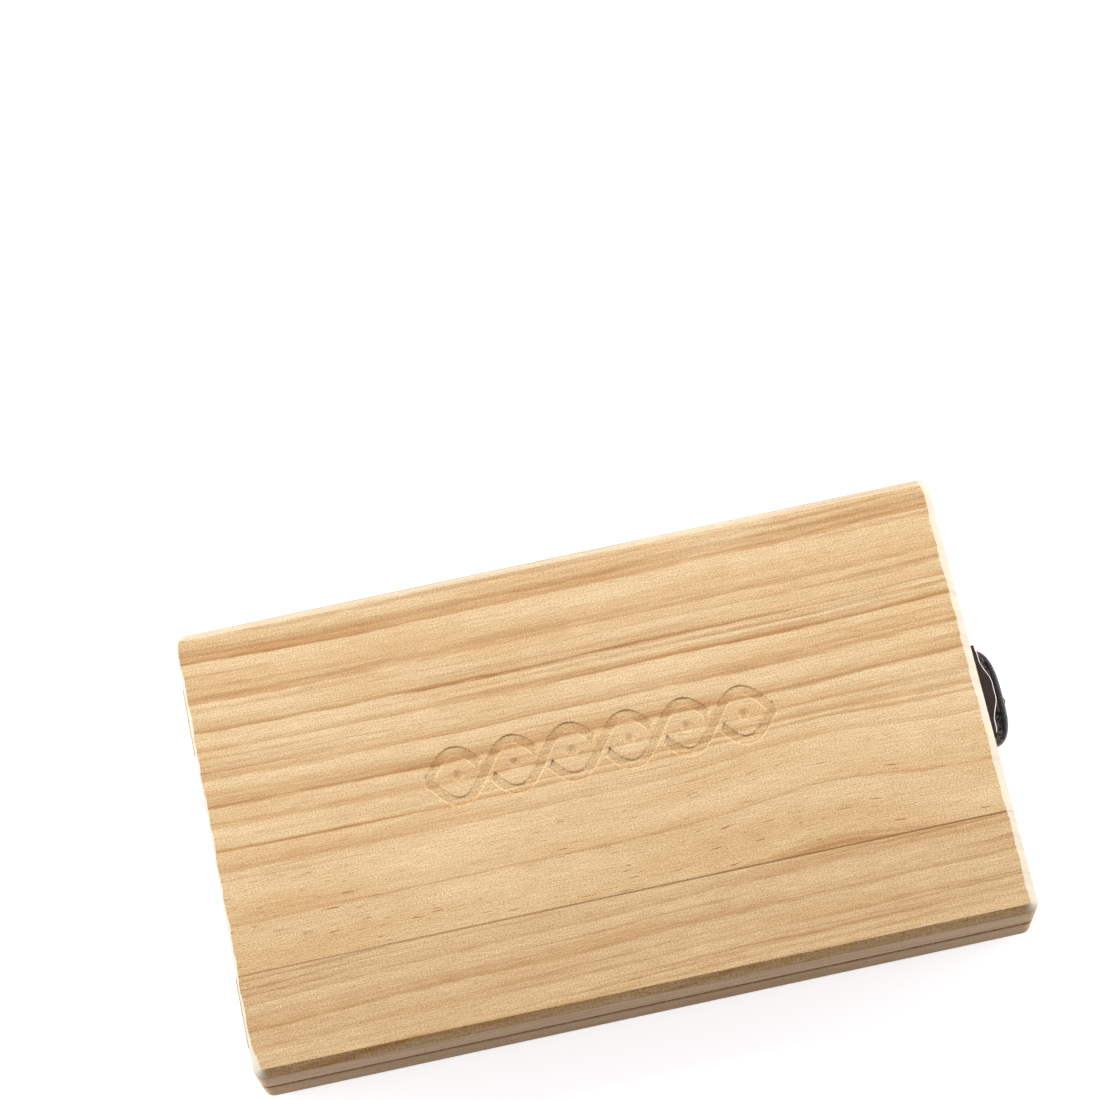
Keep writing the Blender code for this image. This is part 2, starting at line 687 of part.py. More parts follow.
def make_staple(name):
    """The wire staple: two legs set in the wood, joined by a half circle in front of the flap."""
    bend_x = flap_crown_x + STAPLE_STANDOUT - STAPLE_WIRE_RADIUS - STAPLE_HALF_WIDTH
    leg_x = end_x - STAPLE_LEG_DEPTH
    route = [((leg_x, -STAPLE_HALF_WIDTH), -math.pi / 2)]
    for k in range(STAPLE_BEND_STEPS + 1):
        angle = (k / STAPLE_BEND_STEPS - 0.5) * math.pi
        x = bend_x + STAPLE_HALF_WIDTH * math.cos(angle)
        route.append(((x, STAPLE_HALF_WIDTH * math.sin(angle)), angle))
    route.append(((leg_x, STAPLE_HALF_WIDTH), math.pi / 2))
    rings = []
    for (x, y), angle in route:
        ring = []
        for out, up in oval_loop(STAPLE_WIRE_RADIUS, 0.0, STAPLE_SIDES):
            ring.append((x + out * math.cos(angle), y + out * math.sin(angle), staple_z + up))
        rings.append(ring)
    shape = Shape()
    shape.add_rings(rings)
    add_piece(name, shape, BRONZE)


def main():
    """Clear the scene and make every piece, closed as it lies on a table."""
    for obj in list(bpy.data.objects):
        bpy.data.objects.remove(obj, do_unlink=True)

    fold_axis = make_axis("fold_axis", (hinge_axis_x, 0.0, HALF_THICKNESS))
    hasp_axis = make_axis("hasp_axis", (hasp_axis_x, 0.0, hasp_axis_z), fold_axis)

    make_board("lower_board", LOWER)
    make_board("upper_board", UPPER, fold_axis)

    for label, hinge in (("front", FRONT), ("back", BACK)):
        make_leaf(f"{label}_hinge_lower_leaf", LOWER, hinge)
        make_leaf(f"{label}_hinge_upper_leaf", UPPER, hinge, fold_axis)
        make_hinge_pin(f"{label}_hinge_pin", hinge)
        make_leaf_screws(f"{label}_hinge_lower_screw", LOWER, hinge)
        make_leaf_screws(f"{label}_hinge_upper_screw", UPPER, hinge, fold_axis)

    make_latch_plate("latch_plate", fold_axis)
    make_plate_screws("latch_plate_screw", UPPER, fold_axis)
    make_hasp_pin("hasp_pin", fold_axis)
    make_flap("hasp_flap", hasp_axis)
    make_catch_plate("catch_plate")
    make_plate_screws("catch_plate_screw", LOWER)
    make_staple("catch_staple")


main()
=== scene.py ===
"""A folding mancala board, closed, with its brass hinges and its small domed hasp."""

import math

import bmesh
import bpy
import numpy as np
from mathutils import Matrix, Vector


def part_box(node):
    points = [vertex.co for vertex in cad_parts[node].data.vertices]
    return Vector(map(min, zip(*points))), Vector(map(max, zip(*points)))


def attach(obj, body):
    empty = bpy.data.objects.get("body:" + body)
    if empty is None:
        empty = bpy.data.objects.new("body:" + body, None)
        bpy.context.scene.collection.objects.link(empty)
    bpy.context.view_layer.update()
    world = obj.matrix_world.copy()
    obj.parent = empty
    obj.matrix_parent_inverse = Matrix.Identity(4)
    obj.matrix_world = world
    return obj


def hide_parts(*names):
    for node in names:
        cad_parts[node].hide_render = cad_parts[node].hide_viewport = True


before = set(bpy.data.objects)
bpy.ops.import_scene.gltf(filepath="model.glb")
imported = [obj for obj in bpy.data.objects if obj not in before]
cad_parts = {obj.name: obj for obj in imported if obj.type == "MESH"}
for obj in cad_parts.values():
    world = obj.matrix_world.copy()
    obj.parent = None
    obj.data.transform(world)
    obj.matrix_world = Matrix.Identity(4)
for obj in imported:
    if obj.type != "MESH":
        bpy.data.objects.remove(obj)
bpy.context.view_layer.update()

MM = 0.001

# Sizes of the wooden halves, which follow the frame
CORNER_RADIUS = 3.0 * MM
BEVEL_RUN = 2.3 * MM
BEVEL_DROP = 1.8 * MM
BEVEL_FOOT_INSET = 0.15 * MM
BEVEL_FOOT_DROP = 1.5 * MM
HINGE_END_BEVEL_SHARE = 0.35
WIDE_CORNER_LENGTH = 6.0 * MM
ARRIS_SWAY = 0.14 * MM
PLAY_EDGE_RADIUS = 1.1 * MM
PARTING_GAP = 0.3 * MM
PIT_RADIUS = 23.0 * MM
PIT_DEPTH = 8.5 * MM
PIT_LIP = 1.2 * MM
PIT_PITCH = 52.0 * MM
PIT_ROW_Y = 30.0 * MM
FIRST_PIT_X = -75.0 * MM
STORE_X = 80.0 * MM
STORE_RADIUS = 20.0 * MM
STORE_REACH = 33.0 * MM
MORTISE_GAP = 0.3 * MM
GRID_STEP = 2.0 * MM
CELL_RING_SHARES = (0.3, 0.65, 1.0)
CORNER_FAN = 8

# The carved band of two strands
CARVING_X = 2.0 * MM
CARVING_Y = 7.0 * MM
CARVING_EYES = 6
EYE_LENGTH = 16.4 * MM
STRAND_SWING = 7.4 * MM
GROOVE_WIDTH = 2.9 * MM
GROOVE_DEPTH = 0.5 * MM
GROOVE_WALL = 0.28 * MM
STRAND_LAND = 1.0 * MM
DIMPLE_RADIUS = 1.8 * MM
DIMPLE_DEPTH = 0.5 * MM
CARVING_STEP = 0.21 * MM

# Sizes of the hinges
LEAF_THICKNESS = 0.8 * MM
LEAF_SCREW_SPACING = 12.0 * MM
LEAF_SCREW_INSET = 5.0 * MM
MIDDLE_KNUCKLE_LENGTH = 8.8 * MM
KNUCKLE_GAP = 0.3 * MM
KNUCKLE_RADIUS = 1.2 * MM
BORE_RADIUS = 0.65 * MM
ROLL_END = math.radians(348)
SINK_RADIUS = 1.55 * MM
SINK_LIP = 0.06 * MM
SHANK_HOLE_RADIUS = 0.91 * MM
LEAF_SOFTNESS = 0.08 * MM
LEAF_STEPS = (0.8 * MM, 0.6 * MM)

# Sizes of the screws and the pins
HEAD_RADIUS = 1.35 * MM
HEAD_RISE = 0.5 * MM
HEAD_SEAT = 0.15 * MM
SHANK_RADIUS = 0.7 * MM
POINT_LENGTH = 1.6 * MM
POINT_RADIUS = 0.2 * MM
RECESS_REACH = 0.75 * MM
RECESS_HALF = 0.17 * MM
RECESS_DEPTH = 0.4 * MM
PIN_CHAMFER = 0.15 * MM
RECESS_WALL = 0.03 * MM
HEAD_SQUARE_SHARE = 0.68
SCREW_TURN_PER_METRE = 700.0

# Sizes of the hasp
PLATE_THICKNESS = 0.8 * MM
PLATE_SOFTNESS = 0.2 * MM
PLATE_STEP = 1.0 * MM
LATCH_CORNER = 1.0 * MM
CATCH_CORNER = 1.5 * MM
BROW_DROP = 0.2 * MM
BROW_END_REACH = 1.3 * MM
BROW_MIDDLE_REACH = 3.3 * MM
BROW_FLAT_HALF = 2.2 * MM
BROW_FOOT_HALF = 9.2 * MM
BROW_END_POWER = 16
# Strength and tilt of the painted highlight along the brow's nose
BROW_HIGHLIGHT = 1.3
BROW_HIGHLIGHT_TILT = 0.5
FLAP_WIDTH = 32.0 * MM
FLAP_TOP_DROP = 1.4 * MM
FLAP_KNUCKLE_LENGTH = 6.0 * MM
FLAP_STEM = (0.25 * MM, 0.8 * MM)
FLAP_STEM_OVERLAP = 0.8 * MM
FLAP_SOFTNESS = 0.12 * MM
PLATE_KNUCKLE_LENGTH = 3.0 * MM
FLAP_RIM_GAP = 0.3 * MM
FLAP_OUTLINE_POWER = 3.4
FLAP_TAPER = 0.30
FLAP_DOME_POWER = 3.0
SLOT_HALF = 3.05 * MM
SLOT_BOTTOM_GAP = 1.1 * MM
SLOT_TOP_GAP = 0.4 * MM
SLOT_FRAME_WIDTH = 1.0 * MM
SLOT_STEP = 0.3 * MM

lower_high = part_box("lower_board")[1]
upper_low, upper_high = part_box("upper_board")
end_x = upper_high.x
side_y = upper_high.y
middle_z = (lower_high.z + upper_low.z) / 2


def smooth(value, start, end):
    """0 before the start, 1 after the end, and 3t2 - 2t3 between them."""
    share = np.clip((value - start) / (end - start), 0.0, 1.0)
    return share * share * (3 - 2 * share)


def stretches(stops, step):
    """Grid lines from stop to stop, no wider apart than the step, with each inner stop twice."""
    lines = []
    for start, end in zip(stops[:-1], stops[1:]):
        count = max(int(math.ceil((end - start) / step - 1e-6)), 1)
        lines.append(np.linspace(start, end, count + 1))
    return lines


def grid(us, vs, height, place):
    """A grid of points over two rows of lines, at a height given by a number or a function of both."""
    u, v = np.meshgrid(us, vs)
    level = height(u, v) if callable(height) else np.full_like(u, height)
    return place(u, v, level)


def rectangle_path(us, vs, fan=1):
    """The rectangle round a grid as (corner points, outward directions), counterclockwise and closed.

    Each corner comes as often as the fan says, with its direction turning by a quarter.
    """
    turn = np.linspace(0.0, math.pi / 2, fan)
    points, ways = [], []
    sides = (
        (us, np.full_like(us, vs[0]), -math.pi / 2),
        (np.full_like(vs, us[-1]), vs, 0.0),
        (us[::-1], np.full_like(us, vs[-1]), math.pi / 2),
        (np.full_like(vs, us[0]), vs[::-1], math.pi),
    )
    for u, v, angle in sides:
        points.append(np.stack([u, v], -1))
        ways.append(np.tile([math.cos(angle), math.sin(angle)], (len(u), 1)))
        points.append(np.tile([u[-1], v[-1]], (fan, 1)))
        ways.append(np.stack([np.cos(angle + turn), np.sin(angle + turn)], -1))
    points.append(points[0][:1])
    ways.append(ways[0][:1])
    return np.concatenate(points), np.concatenate(ways)


def loft(path, radius, profile, place, floor=0.0):
    """A profile of (inset, depth, sway) points carried round a path of points and outward directions.

    A point lies on the path plus its direction times (radius - inset), no less deep than the floor.
    On the short ends the inset also sways along the edge: the sum of three sines, times the sway.
    Where there is sway, the hinge end keeps only its share of the inset, and all of it at the front.
    """
    points, ways = path
    inset, depth, sway = [np.array(values)[:, None] for values in zip(*profile)]
    along = points[:, 1] / MM
    wave = np.sin(along / 1.9) + np.sin(along / 0.83 + 2.0) * 0.6 + np.sin(along / 5.3) * 0.8
    corner_y = side_y - CORNER_RADIUS
    front = smooth(-points[:, 1], corner_y - WIDE_CORNER_LENGTH, corner_y)
    narrow = (1 - HINGE_END_BEVEL_SHARE) * (1 - front)
    narrowing = 1 - (sway > 0) * np.clip(-ways[:, 0], 0.0, 1.0) * narrow
    inset = inset * narrowing + sway * ARRIS_SWAY * wave * np.abs(ways[:, 0])
    u = points[:, 0] + (radius - inset) * ways[:, 0]
    v = points[:, 1] + (radius - inset) * ways[:, 1]
    return place(u, v, np.maximum(depth + 0 * u, floor))


def cell(us, vs, hollow, profile, place):
    """A rectangle round a hollow: rings of the profile about its spine, then straight on to the edge.

    The hollow is (centre u, centre v, half length of its spine along v).
    """
    centre_u, centre_v, reach = hollow
    edge = rectangle_path(us, vs)[0]
    spine_v = np.clip(edge[:, 1], centre_v - reach, centre_v + reach)
    spine = np.stack([np.full(len(edge), centre_u), spine_v], -1)
    way = edge - spine
    way /= np.linalg.norm(way, axis=1)[:, None]
    rings = [spine + way * radius for radius, depth in profile]
    depths = [depth for radius, depth in profile]
    for share in CELL_RING_SHARES:
        rings.append(rings[len(profile) - 1] * (1 - share) + edge * share)
        depths.append(profile[-1][1])
    rings = np.array(rings)
    return place(rings[..., 0], rings[..., 1], np.array(depths)[:, None] + 0 * rings[..., 0])


def capped(patch):
    """A tube whose first and last rings are closed to their middles."""
    first = np.broadcast_to(patch[:1].mean(1, keepdims=True), patch[:1].shape)
    last = np.broadcast_to(patch[-1:].mean(1, keepdims=True), patch[-1:].shape)
    return np.concatenate([first, patch, last])


def add_object(name, data):
    """A new object of the scene with this mesh, lamp or camera."""
    added = bpy.data.objects.new(name, data)
    bpy.context.scene.collection.objects.link(added)
    return added


def make_piece(name, patches, finish, body, sharp=35.0, worn=None):
    """The dressed form of a node: a closed mesh from grids of points whose edges meet, faces outwards.

    worn gives each grid's own share of worn colour and painted highlight, from 0 to 1, for the finish to
    read.
    """
    points = np.concatenate([p.reshape(-1, 3) for p in patches])
    faces, first = [], 0
    for patch in patches:
        rows, columns = patch.shape[:2]
        corner = first + np.arange(rows - 1)[:, None] * columns + np.arange(columns - 1)
        square = [corner, corner + 1, corner + columns + 1, corner + columns]
        faces.append(np.stack(square, -1).reshape(-1, 4))
        first += rows * columns
    faces = np.concatenate(faces)
    mesh = bpy.data.meshes.new(name)
    mesh.vertices.add(len(points))
    mesh.vertices.foreach_set("co", points.ravel())
    mesh.loops.add(faces.size)
    mesh.loops.foreach_set("vertex_index", faces.ravel())
    mesh.polygons.add(len(faces))
    mesh.polygons.foreach_set("loop_start", np.arange(0, faces.size, 4))
    mesh.update(calc_edges=True)
    wear = np.zeros(len(points))
    if worn is not None:
        wear = np.concatenate([np.broadcast_to(w, p.shape[:2]).ravel() for w, p in zip(worn, patches)])
    mesh.attributes.new("wear", "FLOAT", "POINT").data.foreach_set("value", wear)
    build = bmesh.new()
    build.from_mesh(mesh)
    bmesh.ops.remove_doubles(build, verts=build.verts, dist=0.002 * MM)
    bmesh.ops.recalc_face_normals(build, faces=build.faces)
    build.to_mesh(mesh)
    build.free()
    mesh.shade_smooth()
    mesh.set_sharp_from_angle(angle=math.radians(sharp))
    mesh.materials.append(finish)
    piece = add_object(f"dressed_{name}", mesh)
    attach(piece, body)
    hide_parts(name)
    return piece


def soften(piece, width):
    """Round the sharp edges of a thin metal piece by this width."""
    bevel = piece.modifiers.new("soft_edges", "BEVEL")
    bevel.width = width
    bevel.segments = 2
    bevel.limit_method = "ANGLE"
    bevel.angle_limit = math.radians(40)
    bevel.harden_normals = True


class Signal:
    """A number that varies over a surface. Sums and products with it add Math nodes."""

    def __init__(self, finish, socket):
        self.finish = finish
        self.socket = socket

    def __add__(self, other):
        return self.finish.math("ADD", self, other)

    def __sub__(self, other):
        return self.finish.math("SUBTRACT", self, other)

    def __rsub__(self, other):
        return self.finish.math("SUBTRACT", other, self)

    def __mul__(self, other):
        return self.finish.math("MULTIPLY", self, other)

    def __truediv__(self, other):
        return self.finish.math("DIVIDE", self, other)

    def __pow__(self, other):
        return self.finish.math("POWER", self, other)

    __radd__ = __add__
    __rmul__ = __mul__


class Finish:
    """A material and the nodes behind its shader."""

    def __init__(self, name, **constants):
        self.material = bpy.data.materials.new(name)
        self.material.use_nodes = True
        self.tree = self.material.node_tree
        self.shader = self.tree.nodes["Principled BSDF"]
        for socket, value in constants.items():
            self.shader.inputs[socket.replace("_", " ")].default_value = value

    def node(self, kind, settings=None, sockets=None):
        """A node of this kind, its settings set first, then its sockets' values or links."""
        node = self.tree.nodes.new(f"ShaderNode{kind}")
        for key, value in (settings or {}).items():
            if key == "stops":
                ramp = node.color_ramp
                for number, (place, colour) in enumerate(value):
                    stop = ramp.elements[number] if number < 2 else ramp.elements.new(place)
                    stop.position = place
                    stop.color = colour
            else:
                setattr(node, key, value)
        for key, value in (sockets or {}).items():
            self.feed(node.inputs[key], value)
        return node

    def feed(self, socket, value):
        """Link a signal or a node's output to a socket, or set the socket's own value."""
        if isinstance(value, Signal):
            self.tree.links.new(value.socket, socket)
        elif isinstance(value, bpy.types.NodeSocket):
            self.tree.links.new(value, socket)
        elif socket.type == "VECTOR":
            socket.default_value = value[:3]
        else:
            socket.default_value = value

    def math(self, operation, *values):
        """A Math node as a signal."""
        node = self.node("Math", {"operation": operation}, dict(enumerate(values)))
        return Signal(self, node.outputs[0])

    def place(self):
        """The three Object coordinates in millimetres."""
        split = self.node("SeparateXYZ", None, {0: self.node("TexCoord").outputs["Object"]})
        return [Signal(self, split.outputs[k]) * (1 / MM) for k in range(3)]

    def noise(self, x, y, z, detail=2.0, roughness=0.5):
        """Noise about 0, of one unit's grain, at a point given by three signals or numbers."""
        point = self.node("CombineXYZ", None, {0: x, 1: y, 2: z}).outputs[0]
        sockets = {"Vector": point, "Scale": 1.0, "Detail": detail, "Roughness": roughness}
        return Signal(self, self.node("TexNoise", None, sockets).outputs[0]) - 0.5

    def grain(self, lengths, point, shift=0.0, detail=2.0, roughness=0.5):
        """Noise whose grains have these three lengths, at a point that is shifted along the first."""
        x, y, z = [axis * (1 / length) for axis, length in zip(point, lengths)]
        return self.noise(x + shift, y, z, detail, roughness)

    def rise(self, value, start, end):
        """0 before the start and 1 after the end, smooth between them."""
        settings = {"interpolation_type": "SMOOTHSTEP"}
        node = self.node("MapRange", settings, {"Value": value, "From Min": start, "From Max": end})
        return Signal(self, node.outputs[0])

    def mix(self, share, first, second):
        """A colour between two others."""
        sockets = {0: share, 6: first, 7: second}
        node = self.node("Mix", {"data_type": "RGBA", "clamp_factor": True}, sockets)
        return node.outputs[2]

    def scale(self, colour, share):
        """A colour times a signal."""
        node = self.node("VectorMath", {"operation": "SCALE"}, {0: colour, "Scale": share})
        return node.outputs[0]

    def shade(self, colour, amount):
        """A colour made lighter or, below 0, darker and warmer: blue changes most and red least."""
        shares = {k: amount * weight + 1.0 for k, weight in enumerate((0.75, 1.0, 1.35))}
        shares = self.node("CombineXYZ", None, shares).outputs[0]
        node = self.node("VectorMath", {"operation": "MULTIPLY"}, {0: colour, 1: shares})
        return node.outputs[0]

    def bump(self, height):
        """Feed a height of about one unit, worth the fine relief, to the shader's Normal."""
        sockets = {"Height": height, "Distance": FINE_RELIEF, "Strength": 1.0}
        self.feed(self.shader.inputs["Normal"], self.node("Bump", None, sockets).outputs[0])

    def set(self, **sockets):
        """Feed the shader's own sockets."""
        for socket, value in sockets.items():
            self.feed(self.shader.inputs[socket.replace("_", " ")], value)
        return self.material


def colour(red, green, blue):
    """An opaque colour from its three display values, from 0 to 255."""
    values = np.array([red, green, blue]) / 255
    linear = np.where(values <= 0.04045, values / 12.92, ((values + 0.055) / 1.055) ** 2.4)
    return (*[float(v) for v in linear], 1.0)


PALE_WOOD = colour(248, 217, 169)
WARM_WOOD = colour(232, 190, 137)
BAND_WOOD = colour(214, 163, 106)
LATE_WOOD = colour(182, 128, 74)
JOINT_WOOD = colour(150, 106, 60)
DUCT_WOOD = colour(168, 104, 62)
# Colour of the painted highlight on the end and back bevels
BEVEL_HIGHLIGHT_WOOD = colour(229, 229, 217)
FINE_RELIEF = 0.03 * MM

# Shares of the painted highlight and of the painted shade and shadow that the board's edges show
BEVEL_HIGHLIGHT_SHARE = 0.7
BACK_HIGHLIGHT_SHARE = 0.45
FRONT_BEVEL_SHADE = 0.24
SEAM_SHADE = 0.6

# The wood's patterns: lengths of a grain in mm, along the fibres and across them
SWAY_GRAIN = (90.0, 60.0, 60.0)
SWAY_REACH = 3.5
FIBRE_GRAIN = (18.0, 0.8, 0.8)
FIBRE_REACH = 1.4
LINE_GRAIN = (120.0, 0.7, 1.0)
FADE_GRAIN = (34.0, 6.0, 12.0)
THIN_GRAIN = (110.0, 1.3, 1.0)
PATCH_GRAIN = (60.0, 9.0, 9.0)
STREAK_GRAIN = (7.0, 0.35, 0.35)
MOTTLE_GRAIN = (0.5, 0.28, 0.28)
DUCT_GRAIN = (6.0, 0.55, 0.55)

# The hump of the fibres near the latch end, in mm
HUMP_X = 60.0
HUMP_HALF_LENGTH = 26.0
HUMP_HEIGHT = 4.0

# Growth rings of the outer face: place across the board in mm, then the strength at each end,
# the hinge end first. A ring darkens up to its place and ends at once behind it.
RING_SHARPNESS = 1.9
RING_END_SHARE = 0.005
WIDE_RING_SHARE = 0.14
NO_RING = (0.0, 0.0, 0.0, 1.0)
TOP_RINGS = (
    (53.7, 0.95, 0.60),
    (41.9, 0.60, 0.40),
    (39.0, 0.15, 0.45),
    (33.6, 0.75, 0.65),
    (31.4, 0.15, 0.70),
    (28.0, 0.45, 1.00),
    (19.8, 0.55, 0.50),
    (11.8, 0.70, 0.75),
    (5.9, 0.50, 0.45),
    (1.4, 0.25, 0.60),
    (-0.7, 1.00, 0.60),
    (-6.6, 0.45, 0.40),
    (-21.5, 0.35, 0.35),
    (-40.3, 1.00, 1.00),
)


def ring_stops(pith, top_z):
    """The rings as stops of a ramp, and the distances from the pith at which the ramp starts and ends.

    Red holds a ring's strength at the hinge end and green at the latch end, both as roots that the
    sharpness undoes. A stop's place is the share of the way from the first distance to the last.
    """
    pith_y, pith_z = pith
    edges = (side_y / MM, TOP_RINGS[-1][0] - 0.5)
    first, last = [math.hypot(pith_y - edge, top_z - pith_z) for edge in edges]
    stops = [(0.0, NO_RING)]
    before = 0.0
    for place, left, right in TOP_RINGS:
        share = (math.hypot(pith_y - place, top_z - pith_z) - first) / (last - first)
        if share - before > WIDE_RING_SHARE:
            stops.append((share - WIDE_RING_SHARE / 2, NO_RING))
        before = share
        peak = [strength ** (1 / RING_SHARPNESS) for strength in (left, right)]
        stops.append((share, (*peak, 0.0, 1.0)))
        stops.append((min(share + RING_END_SHARE, 1.0), NO_RING))
    return stops, first, last


def board_edges(finish, x, y, z, seam_shadow_reach):
    """Masks of the painted highlight on the end and back bevels, of the painted shade on the front bevel,
    and of the painted shadow on the outer walls beside the parting line.

    Each is a product of rises, in mm, over the ways from the board's middle to its ends and sides.
    """
    half, end, side = [size / MM for size in (upper_high.z - middle_z, end_x, side_y)]
    level = finish.math("ABSOLUTE", z - middle_z / MM)
    end_way = finish.math("ABSOLUTE", x)
    side_way = finish.math("ABSOLUTE", y)
    bevel = finish.rise(level, half - 1.9, half - 1.6) * (1 - finish.rise(level, half - 0.08, half - 0.01))
    # Painted highlight: the end bevels turn pale, and the back bevel by a smaller share.
    back = finish.rise(y, side - 3.5, side - 2.5) * BACK_HIGHLIGHT_SHARE
    pale = bevel * finish.math("MAXIMUM", finish.rise(end_way, end - 4.0, end - 2.5), back)
    # Painted shade on the front bevel only.
    front_shade_side = finish.rise(y * -1.0, side - 3.5, side - 2.5)
    front = bevel * finish.rise(level, half - 2.0, half - 0.4) * front_shade_side * (1 - pale)
    # Painted shadow on the outer walls near the parting line, reaching further down the lower half, under
    # the upper one.
    end_rim = finish.rise(end_way, end - 1.2, end - 0.6)
    side_rim = finish.rise(side_way, side - 1.2, side - 0.6)
    seam_shadow = (1 - finish.rise(level, 0.3, seam_shadow_reach)) * finish.math("MAXIMUM", end_rim, side_rim)
    return pale, front, seam_shadow


def pine(name, top_z, pith, joint_y, shift, seed, seam_shadow_reach):
    """Edge-glued pine: growth rings about a far pith, fibres along X, small resin ducts and a glue line.

    All lengths are in mm. A point's ring is its distance from the pith, once the board's bow, sway and
    hump are taken off its place across. The strip on the near side of the joint has rings of its own.
    """
    finish = Finish(name, Specular_IOR_Level=0.3)
    x, y, z = finish.place()
    near = finish.rise(joint_y - y, -0.05, 0.05)
    bow = (x * 0.01) ** 2.0 * (y * 0.02 + 0.8)
    sway = finish.grain(SWAY_GRAIN, (x, y, z), seed, 1.0) * SWAY_REACH
    bell = finish.math("EXPONENT", ((x - HUMP_X) / HUMP_HALF_LENGTH) ** 2.0 * -1.0)
    hump = bell * finish.rise(y * -1.0, -12.0, 8.0) * HUMP_HEIGHT
    across = y - bow - sway - hump * (1 - near) + near * (x * -0.019 + shift)
    fibre = finish.grain(FIBRE_GRAIN, (x, y, z), near * 31.0, 3.0, 0.65)
    pith_y, pith_z = pith
    radius = finish.math("SQRT", (pith_y - across) ** 2.0 + (z - pith_z) ** 2.0) + fibre * FIBRE_REACH

    stops, first, last = ring_stops(pith, top_z)
    turn = finish.math("FRACT", (radius - first) / (last - first))
    ramp = finish.node("ValToRGB", {"stops": stops}, {0: turn})
    split = finish.node("SeparateColor", None, {0: ramp.outputs[0]})
    left, right = [Signal(finish, split.outputs[k]) for k in (0, 1)]
    late = (left + (right - left) * finish.rise(x, -60.0, 60.0)) ** RING_SHARPNESS
    lines = finish.grain(LINE_GRAIN, (x, radius, 0.5), seed, 1.0, 0.6)
    fade = finish.grain(FADE_GRAIN, (x, across, z))
    band = late * (1.0 + fade * 1.6) * (1 - near * 0.5)
    late = band * (finish.rise(lines, -0.02, 0.09) * 0.65 + 0.1)
    calm = finish.rise(across * -1.0, 6.0, 14.0)
    thin = finish.rise(finish.grain(THIN_GRAIN, (x, radius, 7.5), seed, 1.0), 0.09, 0.2)
    thin = thin * (1 - calm * 0.85) + thin * near * 0.4

    patches = finish.grain(PATCH_GRAIN, (x, across, z), 0.0, 3.0)
    streak = finish.grain(STREAK_GRAIN, (x, y, z), near * 17.0, 2.0, 0.6)
    mottle = finish.grain(MOTTLE_GRAIN, (x, y, z), 0.0, 0.0)
    ducts = finish.grain(DUCT_GRAIN, (x, across, z), across * 0.1, 0.0)
    ducts = finish.rise(ducts, 0.25, 0.29) * (calm * 0.75 + 0.25) * finish.rise(patches, -0.12, 0.05)
    line = finish.rise(finish.math("ABSOLUTE", y - joint_y) * -1.0, -0.42, -0.08)

    wood = finish.mix(patches * 2.2 + 0.34 + calm * 0.15, PALE_WOOD, WARM_WOOD)
    wood = finish.mix(band * 1.1, wood, BAND_WOOD)
    # On the near strip the wood is darker and warmer, here and in the tone below: partly its own wood,
    # partly painted shade towards the front.
    wood = finish.mix(late + lines * 0.18 + thin * 0.32 + near * 0.14, wood, LATE_WOOD)
    wood = finish.mix(ducts * 0.85, wood, DUCT_WOOD)
    wood = finish.mix(line * (finish.rise(x, -100.0, 60.0) * 0.4 + 0.5), wood, JOINT_WOOD)
    zone = finish.rise(across * -1.0, 20.6, 21.4) * (1 - near)
    tone = streak * 0.75 + mottle * 0.95 + fibre * 0.2 - near * 0.05 - zone * 0.05
    # Painted light on the board's edges: shade on the front bevel, a shadow on the walls at the parting
    # line, and a pale highlight on the end and back bevels.
    pale, front, seam_shadow = board_edges(finish, x, y, z, seam_shadow_reach)
    wood = finish.shade(wood, tone - front * FRONT_BEVEL_SHADE - seam_shadow * SEAM_SHADE)
    wood = finish.mix(pale * BEVEL_HIGHLIGHT_SHARE, wood, BEVEL_HIGHLIGHT_WOOD)
    finish.bump(streak * 1.2 + mottle * 0.5 - line * 1.5 - ducts)
    return finish.set(Base_Color=wood, Roughness=0.58 + streak * 0.3 - late * 0.08)


DENT_SIZE = 0.8 * MM
RIDGE_WEAR = 0.13
GRITS_PER_PATCH = 9


def aged_metal(name, dark, bright, roughness, metallic, patch, hammered=0.0, specular=0.5):
    """A dark finish on metal, cloudy in patches of this size in mm, and bright on worn edges and where a
    painted highlight is given.

    A hammered one has round dents with worn ridges between them: the height at a point is its distance
    from the nearest of many scattered centres.
    """
    finish = Finish(name, Metallic=metallic, Specular_IOR_Level=specular)
    x, y, z = [axis * (1 / patch) for axis in finish.place()]
    cloud = finish.noise(x, y, z, 3.0, 0.6)
    grit = finish.noise(x * GRITS_PER_PATCH, y * GRITS_PER_PATCH, z * GRITS_PER_PATCH, 2.0, 0.6)
    wear = Signal(finish, finish.node("Attribute", {"attribute_name": "wear"}).outputs["Fac"])
    point = finish.node("TexCoord").outputs["Object"]
    cells = finish.node("TexVoronoi", None, {"Vector": point, "Scale": 1 / DENT_SIZE})
    dents = Signal(finish, cells.outputs["Distance"]) * hammered
    rubbed = finish.rise(wear + grit * 0.9 + cloud * 0.5 + dents * RIDGE_WEAR, 0.55, 1.05)
    worn = finish.mix(rubbed, finish.scale(dark, 1.0 + cloud * 1.2), bright)
    finish.bump(cloud * 0.6 + grit * 0.5 + dents)
    return finish.set(Base_Color=worn, Roughness=roughness + cloud * 0.3 + grit * 0.15)


def half_height(side):
    """World place of a point at this depth in the lower (-1) or the upper (1) half."""
    def place(u, v, depth):
        return np.stack([u, v, middle_z + side * (PARTING_GAP / 2 + depth)], -1)
    return place


def soft_edge(radius, steps):
    """(inset, depth, sway) points of a quarter circle from a flat face down to the wall beside it."""
    turn = np.linspace(0.0, math.pi / 2, steps)
    return [(radius * (1 - math.sin(a)), radius * (1 - math.cos(a)), 0.0) for a in turn]


